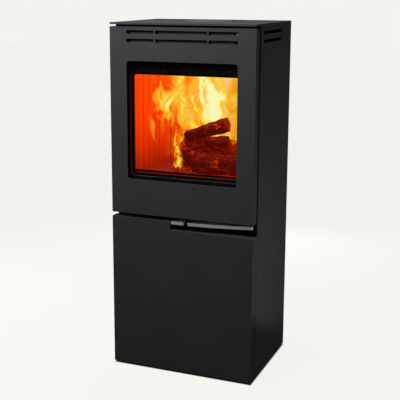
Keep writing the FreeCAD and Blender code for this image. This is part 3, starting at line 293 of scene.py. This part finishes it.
def soot_with_painted_firelight(name):
    """Sooty steel round the fire opening. On the left, the sides that face the fire are red from it:
    painted firelight, given as emission.
    """
    soot = Finish(name)
    cake = soot.noise(60.0, 4.0)
    low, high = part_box("door_glass")
    height = soot.axis("Z")
    window = (height.between(low.z, low.z + PAINTED_FIRELIGHT_FADE_LOW)
              * (1 - height.between(high.z - PAINTED_FIRELIGHT_FADE_HIGH, high.z)))
    # Painted firelight on the sides that face +X, left of the opening, within the window's height.
    painted_firelight = soot.facing("X").between(0.5, 0.9) * soot.axis("X").between(*PAINTED_FIRELIGHT_LEFT) * window
    return soot.finish(soot.surface(
        Base_Color=soot.mix(tone(10, 7, 6), tone(24, 18, 16), cake.between(0.4, 0.75)),
        Roughness=0.8 + cake * 0.1,
        Specular_IOR_Level=0.03,
        Emission_Color=soot.ramp(painted_firelight, SOOT_PAINTED_FIRELIGHT),
        Emission_Strength=1.0,
        Normal=soot.bump(cake, 0.3, 0.0006)))


def zinc_sheet(name):
    """Zinc-coated sheet with its broad spangle."""
    zinc = Finish(name)
    spangle = zinc.node("ShaderNodeTexVoronoi", inputs={"Vector": zinc.place, "Scale": 70.0},
                        output="Color")
    flake = zinc.node("ShaderNodeSeparateColor", inputs={"Color": spangle}, output="Red")
    dust = zinc.noise(30.0, 4.0)
    return zinc.finish(zinc.surface(
        Base_Color=zinc.mix(tone(150, 154, 156), tone(188, 192, 194), flake),
        Metallic=0.9,
        Roughness=0.38 + flake * 0.14 + dust * 0.12,
        Normal=zinc.bump(dust, 0.05, 0.0004)))


def cast_iron(name):
    """Sand-cast iron with a little rust."""
    iron = Finish(name)
    sand = iron.noise(420.0, 5.0)
    rust = iron.noise(35.0, 5.0).between(0.55, 0.75)
    return iron.finish(iron.surface(
        Base_Color=iron.mix(tone(34, 31, 29), tone(74, 46, 32), rust * 0.6),
        Metallic=0.5,
        Roughness=0.62 + sand * 0.25,
        Normal=iron.bump(sand, 0.5, 0.0008)))


def fire_glass(name):
    """Clear ceramic glass with a faint soot haze towards its rim."""
    glass = Finish(name)
    low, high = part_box("door_glass")
    half = (high.x - low.x) / 2
    rim = abs(glass.axis("X") / half).between(0.72, 1.0)
    haze = glass.noise(14.0, 4.0) * rim
    return glass.finish(glass.surface(
        Base_Color=glass.mix(tone(8, 8, 8), tone(40, 30, 24), haze),
        Roughness=0.04 + haze * 0.2,
        Specular_IOR_Level=0.06,
        Alpha=0.02 + haze * 0.15))


def knitted_rope(name, colour, twist):
    """Glass-fibre rope: two sets of strands that cross along it, with painted shade between the strands.
    """
    rope = Finish(name)
    run = rope.axis("X") + rope.axis("Z")
    across = rope.axis("Y")
    strands = ((run + across) * twist).wave() * ((run - across) * twist).wave()
    fluff = rope.noise(600.0, 3.0)
    height = strands * 0.5 + 0.5 + fluff * 0.4
    return rope.finish(rope.surface(
        # Darker where the strands lie low: painted shade in the creases.
        Base_Color=rope.mix(shade(colour, 0.45), colour, height.between(0.1, 1.0)),
        Roughness=0.95,
        Specular_IOR_Level=0.15,
        Sheen_Weight=0.2,
        Normal=rope.bump(height, 0.9, 0.0012)))


def moulded_plastic(name, colour):
    """Grained plastic with pale scuffs."""
    plastic = Finish(name)
    grain = plastic.noise(700.0, 3.0)
    scuff = plastic.noise(40.0, 4.0).between(0.55, 0.8)
    return plastic.finish(plastic.surface(
        Base_Color=plastic.mix(colour, tone(70, 70, 70), scuff * 0.25),
        Roughness=0.5 + grain * 0.2,
        Normal=plastic.bump(grain, 0.25, 0.0003)))


def circuit_board(name):
    """Green board with tracks in rows."""
    board = Finish(name)
    tracks = board.node("ShaderNodeTexBrick", inputs={
        "Vector": board.place, "Scale": 130.0, "Mortar Size": 0.06,
        "Color1": tone(18, 92, 48), "Color2": tone(14, 78, 42), "Mortar": tone(150, 130, 60)})
    return board.finish(board.surface(Base_Color=tracks, Roughness=0.35))


HEARTH_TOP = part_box("floor_bricks")[1].z
LEFT_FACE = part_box("left_brick")[1].x
RIGHT_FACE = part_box("right_brick")[0].x
REAR_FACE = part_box("rear_brick")[0].y
# The bricks' painted shade in their flutes, the levels over which their painted firelight grows, and its
# colours.
FLUTE_PAINTED_SHADE = (0.0004, 0.0015)
WALL_PAINTED_FIRELIGHT = (-0.16, 0.32)
HEARTH_PAINTED_FIRELIGHT = (-0.14, 0.34)
BRICK_PAINTED_FIRELIGHT = ((0.0, (0.0, 0.0, 0.0)), (0.24, (0.36, 0.010, 0.0)), (0.50, (0.78, 0.028, 0.0)),
              (0.75, (1.0, 0.046, 0.0)), (1.0, (1.0, 0.066, 0.001)))


def fire_brick(name, axis, face, levels):
    """Pressed brick in the red light of the fire, which is painted on as emission: dark at the lower of
    two levels, which count from the hearth's top, and brightest at the upper. Its flutes, which lie
    deeper than the face, get less of it and stay darker, as painted shade."""
    brick = Finish(name)
    grit = brick.noise(260.0, 4.0)
    soot = brick.noise(9.0, 4.0).between(0.3, 0.65)
    depth = abs(brick.axis(axis) - face).between(*FLUTE_PAINTED_SHADE)
    dark, bright = levels
    painted_firelight = brick.axis("Z").between(HEARTH_TOP + dark, HEARTH_TOP + bright) * (1 - depth * 0.7)
    painted_firelight = painted_firelight * (0.85 + 0.15 * soot)
    return brick.finish(brick.surface(
        Base_Color=brick.mix(tone(46, 26, 18), tone(24, 15, 12), soot),
        Roughness=0.85 + grit * 0.12,
        Specular_IOR_Level=0.1,
        Emission_Color=brick.ramp(painted_firelight, BRICK_PAINTED_FIRELIGHT),
        Emission_Strength=1.0,
        Normal=brick.bump(grit, 0.35, 0.0008)))


PAINT = stove_paint("stove_paint", tone(56, 56, 58), tone(104, 104, 106), 0.75, 0.015)
SHEET = stove_paint("dark_sheet_paint", tone(30, 30, 31), tone(70, 70, 72), 0.7, 0.03)
SOOT = stove_paint("sooty_black", tone(10, 7, 6), tone(26, 20, 18), 0.8, 0.03)
STEEL = satin_steel("lever_steel", tone(136, 136, 135), 0.42, (0.08, 1.0, 1.0), 0.75)
PLAIN = satin_steel("plain_steel", tone(140, 140, 142), 0.42, (1.0, 1.0, 0.1))
FINISHES = {
    "black_paint": PAINT,
    "dark_sheet": SHEET,
    "satin_steel": STEEL,
    "plain_steel": PLAIN,
    "zinc_sheet": zinc_sheet("zinc_sheet"),
    "fire_glass": fire_glass("fire_glass"),
    "seal_rope": knitted_rope("seal_rope", tone(20, 17, 16), 1500.0),
    "firebrick": fire_brick("floor_brick_lit", "Z", HEARTH_TOP, HEARTH_PAINTED_FIRELIGHT),
    "cast_iron": cast_iron("cast_iron"),
    "black_plastic": moulded_plastic("black_plastic", tone(30, 30, 31)),
    "motor_housing": satin_steel("motor_housing", tone(170, 172, 174), 0.5, (1.0, 1.0, 1.0)),
    "circuit_board": circuit_board("circuit_board"),
}
FIRELIGHT_PAINTED_SOOT = soot_with_painted_firelight("soot_painted_firelight")
SOOTY = ("glass_clips", "firebox_shell", "log_guard", "handle_bracket", "handle_pin", "latch_cam",
         "latch_keeper")
OWN_LOOK = {
    **dict.fromkeys(SOOTY, SOOT),
    "left_brick": fire_brick("left_brick_lit", "X", LEFT_FACE, WALL_PAINTED_FIRELIGHT),
    "right_brick": fire_brick("right_brick_lit", "X", RIGHT_FACE, WALL_PAINTED_FIRELIGHT),
    "rear_brick": fire_brick("rear_brick_lit", "Y", REAR_FACE, WALL_PAINTED_FIRELIGHT),
    "slot_backing": PAINT,
    "flue_cover": cover_paint_with_painted_light("cover_paint", "flue_cover"),
    "front_frame": FIRELIGHT_PAINTED_SOOT,
    "door_frame": FIRELIGHT_PAINTED_SOOT,
}


def dress_packed_pieces():
    for part in frame["record"]["subparts"]:
        slots = frame["nodes"][part["node"]].data.materials
        slots.clear()
        slots.append(OWN_LOOK.get(part["node"], FINISHES[part["material_slot"]]))


# Modelling by hand

def deselect():
    bpy.ops.object.select_all(action="DESELECT")


def edit():
    bpy.ops.object.mode_set(mode="EDIT")
    bpy.ops.mesh.select_all(action="SELECT")


def leave():
    bpy.ops.object.mode_set(mode="OBJECT")


def fix_place():
    bpy.ops.object.transform_apply(location=True, rotation=True, scale=True)


def modify(kind, **settings):
    piece = bpy.context.object
    modifier = piece.modifiers.new(kind.title(), kind)
    for name, value in settings.items():
        setattr(modifier, name, value)
    bpy.ops.object.modifier_apply(modifier=modifier.name)


def join(pieces):
    deselect()
    for piece in pieces:
        piece.select_set(True)
    bpy.context.view_layer.objects.active = pieces[0]
    bpy.ops.object.join()


def cloud_texture(name, size):
    texture = bpy.data.textures.new(name, "CLOUDS")
    texture.noise_scale = size
    return texture


def done(name, body, look, smooth):
    """Names the piece being worked on, gives it its finish and lets it ride on its body."""
    piece = bpy.context.object
    piece.name = piece.data.name = name
    piece.data.materials.clear()
    piece.data.materials.append(look)
    bpy.ops.object.shade_smooth_by_angle(angle=math.radians(smooth))
    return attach(piece, body)


# Seals

DOOR_ROPE = {"width": 0.014, "radius": 0.016}
GLASS_ROPE = {"width": 0.008, "radius": 0.010}
MERGE_GAP = 0.00001


def seal_ring(node, corner, body):
    """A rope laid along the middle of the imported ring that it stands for."""
    low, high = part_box(node)
    wide, deep, tall = high - low
    rope = corner["width"] / 2
    deselect()
    bpy.ops.mesh.primitive_plane_add(size=1, location=(low + high) / 2, rotation=(math.pi / 2, 0, 0))
    bpy.context.object.scale = (wide - 2 * rope, tall - 2 * rope, 1)
    fix_place()
    edit()
    bpy.ops.mesh.bevel(offset=corner["radius"] + rope, segments=8, affect="VERTICES")
    bpy.ops.mesh.delete(type="ONLY_FACE")
    edit()
    bpy.ops.mesh.subdivide(number_cuts=1)
    leave()
    bpy.ops.object.convert(target="CURVE")
    bpy.context.object.data.bevel_depth = rope
    bpy.context.object.data.bevel_resolution = 3
    bpy.ops.object.convert(target="MESH")
    edit()
    bpy.ops.transform.resize(value=(1, deep / (2 * rope), 1), center_override=(low + high) / 2)
    bpy.ops.mesh.remove_doubles(threshold=MERGE_GAP)
    bpy.ops.mesh.normals_make_consistent(inside=False)
    leave()
    piece = done(node.replace("seal", "rope_seal"), body, FINISHES["seal_rope"], 60)
    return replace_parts(piece, node)


# The log fire. Its places are given from the stove's middle, and its heights from the hearth's top.

# Each log: the middles of its two ends, its radius at each, and which side is split off flat.
LOGS = [
    {"name": "front_log", "start": (0.006, -0.093, 0.034), "end": (0.174, -0.088, 0.036),
     "radius": (0.035, 0.033), "split": None},
    {"name": "big_log", "start": (-0.066, -0.002, 0.053), "end": (0.120, 0.000, 0.052),
     "radius": (0.053, 0.050), "split": None},
    {"name": "upper_log", "start": (-0.046, -0.028, 0.110), "end": (0.104, -0.030, 0.163),
     "radius": (0.021, 0.029), "split": (-0.36, -0.25, 1.0)},
    {"name": "split_stick", "start": (0.030, -0.046, 0.100), "end": (0.112, -0.038, 0.105),
     "radius": (0.019, 0.018), "split": (0.1, -0.75, 0.6)},
]
LOG_SIDES = 26
LOG_VOXEL = 0.0035
SPLIT_AT = 0.8
BARK_SIZE = 0.022
BARK_DEPTH = 0.4
# Colours of the wood's own glow in its cracks and of the firelight painted on its sides.
WOOD_GLOW_AND_PAINTED_FIRELIGHT = ((0.05, (0.06, 0.001, 0.0)), (0.25, (0.20, 0.006, 0.0)),
             (0.55, (0.55, 0.03, 0.0)), (0.9, (0.9, 0.08, 0.002)))


def charred_wood(name):
    """Burnt wood, cracked into blocks along the grain. It glows in its cracks. Its upper and right sides,
    which face the flames, carry painted firelight as emission."""
    wood = Finish(name)
    cracks = wood.cells(85.0, "DISTANCE_TO_EDGE", wood.stretched((0.35, 1.0, 1.0)))
    fibre = wood.noise(240.0, 5.0, wood.stretched((0.12, 1.0, 1.0)))
    patches = wood.noise(26.0, 4.0)
    gap = 1 - cracks.between(0.0, 0.12)
    # Painted firelight on the sides that face up and to the right.
    painted_firelight_on_top = wood.facing("Z").between(0.1, 1.0)
    right = wood.facing("X").between(0.2, 1.0)
    heat = gap * patches.between(0.5, 0.72) * 0.6 + patches.between(0.62, 0.8) * 0.25 + 0.07
    heat = heat + (painted_firelight_on_top * 0.26 + right * 0.3) * fibre.between(0.25, 0.7)
    return wood.finish(wood.surface(
        Base_Color=wood.mix(tone(9, 5, 4), tone(20, 10, 7), patches.between(0.4, 0.8)),
        Roughness=0.9,
        Specular_IOR_Level=0.03,
        Emission_Color=wood.ramp(heat, WOOD_GLOW_AND_PAINTED_FIRELIGHT),
        Emission_Strength=1.0,
        Normal=wood.bump(cracks.between(0.0, 0.15) + fibre * 0.5, 0.8, 0.003)))


def burning_log(log, look, bark):
    base = Vector((0, 0, HEARTH_TOP))
    start, end = base + Vector(log["start"]), base + Vector(log["end"])
    run, middle = end - start, (start + end) / 2
    first, last = log["radius"]
    thinner = min(first, last)
    deselect()
    bpy.ops.mesh.primitive_cone_add(vertices=LOG_SIDES, radius1=first, radius2=last, depth=run.length,
                                    location=middle, rotation=run.to_track_quat("Z", "Y").to_euler())
    fix_place()
    edit()
    bpy.ops.mesh.bevel(offset=thinner / 6, segments=2, affect="EDGES", offset_type="OFFSET")
    if log["split"]:
        edit()
        side = Vector(log["split"]).normalized()
        bpy.ops.mesh.bisect(plane_co=middle + side * first * SPLIT_AT, plane_no=side,
                            use_fill=True, clear_outer=True)
    leave()
    modify("REMESH", mode="VOXEL", voxel_size=LOG_VOXEL)
    modify("DISPLACE", texture=bark, strength=thinner * BARK_DEPTH, mid_level=0.5, texture_coords="LOCAL")
    modify("SMOOTH", factor=0.4, iterations=2)
    return done(log["name"], "casing", look, 50)


EMBER_COUNT = 46
EMBER_SEED = 7
EMBER_AREA = {"x": (-0.070, 0.160), "y": (-0.112, 0.045)}
EMBER_SIZE = (0.006, 0.011)
EMBER_LONG, EMBER_WIDE, EMBER_FLAT = (0.8, 1.6), (0.8, 1.3), 0.75
EMBER_LIFT = 0.55
LUMP_SIZE, LUMP_DEPTH = 0.8, 0.5
EMBER_GLOW = ((0.36, (0.08, 0.002, 0.0)), (0.52, (0.30, 0.008, 0.0)),
              (0.64, (0.6, 0.03, 0.0)), (0.76, (1.0, 0.2, 0.01)))


def ember_look(name):
    """Dark crust that glows where it is thin."""
    ember = Finish(name)
    crust = ember.noise(130.0, 5.0)
    return ember.finish(ember.surface(
        Base_Color=ember.mix(tone(9, 6, 5), tone(20, 13, 10), crust.between(0.5, 0.8)),
        Roughness=0.95,
        Specular_IOR_Level=0.03,
        Emission_Color=ember.ramp(crust, EMBER_GLOW),
        Emission_Strength=1.0,
        Normal=ember.bump(crust, 0.7, 0.002)))


def ember_bed(look, lump):
    """Broken embers on the hearth and the grate, modelled once and copied."""
    scatter = random.Random(EMBER_SEED)
    deselect()
    bpy.ops.mesh.primitive_ico_sphere_add(subdivisions=2, radius=1.0)
    modify("DISPLACE", texture=lump, strength=LUMP_DEPTH, mid_level=0.5, texture_coords="LOCAL")
    first = bpy.context.object
    copies = []
    for _ in range(EMBER_COUNT):
        copy = first.copy()
        copy.data = first.data.copy()
        size = scatter.uniform(*EMBER_SIZE)
        copy.scale = (size * scatter.uniform(*EMBER_LONG), size * scatter.uniform(*EMBER_WIDE),
                      size * EMBER_FLAT)
        copy.rotation_euler = (0, 0, scatter.uniform(0, math.tau))
        copy.location = (scatter.uniform(*EMBER_AREA["x"]), scatter.uniform(*EMBER_AREA["y"]),
                         HEARTH_TOP + size * EMBER_LIFT)
        bpy.context.scene.collection.objects.link(copy)
        copies.append(copy)
    bpy.data.objects.remove(first)
    join(copies)
    fix_place()
    return done("ember_bed", "casing", look, 60)


# Each flame sheet: its depth in the chamber, its reach left and right and up, where it burns brightest
# and how far that reaches, the heat of its rim and how much hotter its middle is, how fine its wisps are,
# where in the pattern they are taken from, and how much of its top fades out.
FLAMES = [
    {"name": "rear_flame", "depth": 0.062, "x": (-0.182, 0.182), "z": (0.010, 0.324),
     "hot": (0.030, 0.250), "reach": (0.15, 0.22), "heat": (0.52, 0.60),
     "wisp": 15.0, "drift": 1.6, "fade": 0.02},
    {"name": "middle_flame", "depth": 0.004, "x": (-0.120, 0.182), "z": (0.110, 0.324),
     "hot": (0.036, 0.226), "reach": (0.13, 0.21), "heat": (0.26, 0.94),
     "wisp": 22.0, "drift": 6.3, "fade": 0.02},
    {"name": "left_flame", "depth": -0.055, "x": (-0.182, 0.070), "z": (0.080, 0.324),
     "hot": (-0.098, 0.222), "reach": (0.13, 0.12), "heat": (0.20, 0.60),
     "wisp": 26.0, "drift": 8.6, "fade": 0.02},
    {"name": "front_flame", "depth": -0.066, "x": (-0.096, -0.026), "z": (0.002, 0.185),
     "hot": (-0.058, 0.030), "reach": (0.024, 0.16), "heat": (0.16, 0.80),
     "wisp": 60.0, "drift": 5.2, "fade": 0.5},
    {"name": "side_flame", "depth": -0.020, "x": (0.080, 0.182), "z": (0.070, 0.310),
     "hot": (0.140, 0.200), "reach": (0.08, 0.16), "heat": (0.18, 0.52),
     "wisp": 28.0, "drift": 7.4, "fade": 0.6},
]
FLAME_GRID = 40
FLAME_RIPPLE = 0.035
RIPPLE_SIZE = 0.09
WISP_CURL = (0.06, 0.02, 0.10)
WISP_STRETCH = (1.0, 1.0, 0.42)
WISP_HEAT = 1.8
FLAME_BODY = (0.22, 0.82)
FLAME_GLOW = ((0.15, (0.9, 0.05, 0.0)), (0.4, (1.0, 0.17, 0.003)), (0.62, (1.0, 0.40, 0.014)),
              (0.84, (1.0, 0.76, 0.07)), (1.0, (1.0, 0.96, 0.45)))


def flame_look(flame):
    """One flame sheet: tall wisps, yellow-white at its hot middle, red and thin at its rim."""
    fire = Finish(flame["name"] + "_look")
    x, z = fire.axis("X"), fire.axis("Z") - HEARTH_TOP
    hot_x, hot_z = flame["hot"]
    wide, tall = flame["reach"]
    off = ((x - hot_x) / wide) ** 2.0 + ((z - hot_z) / tall) ** 2.0
    near = 1 - off ** 0.5
    curl = fire.noise(flame["wisp"] * 0.5, 2.0, twist=0.6, output="Color")
    curled = fire.node("ShaderNodeVectorMath", {"operation": "MULTIPLY_ADD"},
                       {0: curl, 1: WISP_CURL, 2: fire.place})
    drawn = fire.stretched(WISP_STRETCH, (flame["drift"], 0, 0), curled)
    wisps = fire.noise(flame["wisp"], 4.0, drawn, twist=0.9)
    rim_heat, middle_heat = flame["heat"]
    heat = near * middle_heat + (wisps - 0.5) * WISP_HEAT + rim_heat
    left, right = flame["x"]
    low, high = flame["z"]
    sides = x.between(left, left + wide * 0.35) * (1 - x.between(right - wide * 0.15, right))
    rim = sides * z.between(low, low + tall * 0.12) * (1 - z.between(high - tall * flame["fade"], high))
    return fire.finish(fire.surface(
        Base_Color=(0, 0, 0, 1),
        Roughness=1.0,
        Specular_IOR_Level=0.0,
        Emission_Color=fire.ramp(heat, FLAME_GLOW),
        Emission_Strength=1.0,
        Alpha=heat.between(*FLAME_BODY) * rim))


def flame_sheet(flame, ripple):
    (left, right), (low, high) = flame["x"], flame["z"]
    middle = ((left + right) / 2, flame["depth"], HEARTH_TOP + (low + high) / 2)
    deselect()
    bpy.ops.mesh.primitive_grid_add(x_subdivisions=FLAME_GRID, y_subdivisions=FLAME_GRID, size=1,
                                    rotation=(math.pi / 2, 0, 0), location=middle)
    bpy.context.object.scale = (right - left, high - low, 1)
    fix_place()
    modify("DISPLACE", texture=ripple, strength=FLAME_RIPPLE, mid_level=0.5, texture_coords="LOCAL",
           direction="Y")
    return done(flame["name"], "casing", flame_look(flame), 80)


def make_fire():
    wood = charred_wood("charred_wood")
    bark = cloud_texture("bark", BARK_SIZE)
    for log in LOGS:
        burning_log(log, wood, bark)
    ember_bed(ember_look("glowing_ember"), cloud_texture("ember_lump", LUMP_SIZE))
    ripple = cloud_texture("flame_ripple", RIPPLE_SIZE)
    for flame in FLAMES:
        flame_sheet(flame, ripple)


# Power inlet

PRONG = {"width": 0.002, "tall": 0.0062, "out": 0.012, "apart": 0.0072, "deep": 0.016, "edge": 0.0005}
PRONG_LIFTS = {-1: -0.0025, 0: 0.0035, 1: -0.0025}


def inlet_prongs():
    """Three blades in the socket, the middle one set higher."""
    low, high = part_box("power_inlet")
    middle = (low + high) / 2
    root = high.y - PRONG["deep"]
    blades = []
    for step, lift in PRONG_LIFTS.items():
        deselect()
        place = (middle.x + step * PRONG["apart"], root + PRONG["out"] / 2, middle.z + lift)
        bpy.ops.mesh.primitive_cube_add(size=1, location=place)
        bpy.context.object.scale = (PRONG["width"], PRONG["out"], PRONG["tall"])
        fix_place()
        edit()
        bpy.ops.mesh.bevel(offset=PRONG["edge"], segments=2, affect="EDGES")
        leave()
        blades.append(bpy.context.object)
    join(blades)
    piece = done("inlet_prongs", "casing", PLAIN, 40)
    return piece


# Stage, light and camera

BACKDROP = tone(244, 243, 238)
FLOOR_SIZE = 30.0
FLOOR_GLOW = 1.03
FLOOR_SHARE = 0.95
FLOOR_MATT = tone(96, 95, 93)
FLOOR_SHADE_RIM = (-0.003, 0.005)
AMBIENT = 0.07
WHITE = (1.0, 1.0, 1.0, 1.0)
LAMPS = [
    {"name": "front_softbox", "place": (-0.3, -0.95, 1.95), "aim": (0, -0.19, 1.2),
     "size": 0.8, "power": 27.0},
    {"name": "top_softbox", "place": (0.1, 0.1, 2.6), "aim": (0, 0, 1.1),
     "size": 1.0, "power": 12.0},
    {"name": "left_softbox", "place": (-1.6, 0.10, 0.62), "aim": (-0.25, 0.0, 0.6),
     "size": 0.9, "power": 17.0},
    {"name": "rear_softbox", "place": (-0.35, 1.75, 0.66), "aim": (0, 0.19, 0.6),
     "size": 0.8, "power": 23.0},
]
SIDE_SPOT = {"place": (0.83, -0.21, 0.34), "aim": (0.25, 0.126, 0.681), "size": 0.03, "power": 6.6,
             "cone": 95.5, "blend": 0.12}
CAMERA = {"place": (1.093, -2.794, 1.281), "aim": (-0.002, -0.19, 0.673), "lens": 80.0,
          "shift": (0.05, -0.05)}


def seen_rays(look):
    """1 for the rays that show the backdrop: straight from the camera, through glass or off metal."""
    straight = look.node("ShaderNodeLightPath", output="Is Camera Ray")
    glossy = look.node("ShaderNodeLightPath", output="Is Glossy Ray")
    through = look.node("ShaderNodeLightPath", output="Is Transmission Ray")
    return straight.maths("MAXIMUM", straight.maths("MAXIMUM", straight, glossy), through)


def painted_shade_under_stove(look):
    """1 on the floor under the stove, where little light comes in. There the floor is lit only by the
    lamps and is darker in colour: painted shade on top of the real shade.
    """
    low, high = (Vector(corner) for corner in cad_box)
    middle, half = (low + high) / 2, (high - low) / 2
    start, end = FLOOR_SHADE_RIM
    across = abs(look.axis("X") - middle.x).between(half.x + start, half.x + end)
    along = abs(look.axis("Y") - middle.y).between(half.y + start, half.y + end)
    return (1 - across) * (1 - along)


def pale_floor():
    deselect()
    bpy.ops.mesh.primitive_plane_add(size=FLOOR_SIZE)
    floor = bpy.context.object
    floor.name = "pale_floor"
    look = Finish("pale_floor")
    shown = seen_rays(look) * (1 - painted_shade_under_stove(look))
    # Under the stove the camera sees the darker matt colour: painted shade.
    colour = look.mix(FLOOR_MATT, BACKDROP, shown)
    matt = look.node("ShaderNodeBsdfDiffuse", inputs={"Color": colour})
    plain = look.node("ShaderNodeEmission", inputs={"Color": BACKDROP, "Strength": FLOOR_GLOW})
    mixed = look.node("ShaderNodeMixShader", inputs={0: shown * FLOOR_SHARE, 1: matt, 2: plain})
    floor.data.materials.append(look.finish(mixed))


def studio_world():
    world = bpy.data.worlds.new("studio")
    bpy.context.scene.world = world
    world.use_nodes = True
    look = Nodes(world.node_tree)
    colour = look.mix(shade(WHITE, AMBIENT), BACKDROP, seen_rays(look))
    light = look.node("ShaderNodeBackground", inputs={"Color": colour, "Strength": 1.0})
    look.lead_out("ShaderNodeOutputWorld", light)


def set_up(name, data, place, aim):
    """Puts a lamp or the camera in its place and turns it to what it aims at."""
    holder = bpy.data.objects.new(name, data)
    holder.location = place
    holder.rotation_euler = (Vector(aim) - Vector(place)).to_track_quat("-Z", "Y").to_euler()
    bpy.context.scene.collection.objects.link(holder)
    return holder


def studio_lamps():
    for lamp in LAMPS:
        light = bpy.data.lights.new(lamp["name"], "AREA")
        light.size, light.energy = lamp["size"], lamp["power"]
        set_up(lamp["name"], light, lamp["place"], lamp["aim"])


def side_spot():
    """A spot on the right side. Its cone ends above the floor, so the foot of the side stays dark."""
    light = bpy.data.lights.new("side_spot", "SPOT")
    light.shadow_soft_size, light.energy = SIDE_SPOT["size"], SIDE_SPOT["power"]
    light.spot_size, light.spot_blend = math.radians(SIDE_SPOT["cone"]), SIDE_SPOT["blend"]
    set_up("side_spot", light, SIDE_SPOT["place"], SIDE_SPOT["aim"]).visible_camera = False


def photo_camera():
    camera = bpy.data.cameras.new("photo_camera")
    camera.lens = CAMERA["lens"]
    camera.shift_x, camera.shift_y = CAMERA["shift"]
    bpy.context.scene.camera = set_up("photo_camera", camera, CAMERA["place"], CAMERA["aim"])


bpy.context.scene.view_settings.view_transform = "Standard"
dress_packed_pieces()
seal_ring("door_seal", DOOR_ROPE, "fire_door")
seal_ring("glass_seal", GLASS_ROPE, "fire_door")
make_fire()
inlet_prongs()
pale_floor()
studio_world()
studio_lamps()
side_spot()
photo_camera()
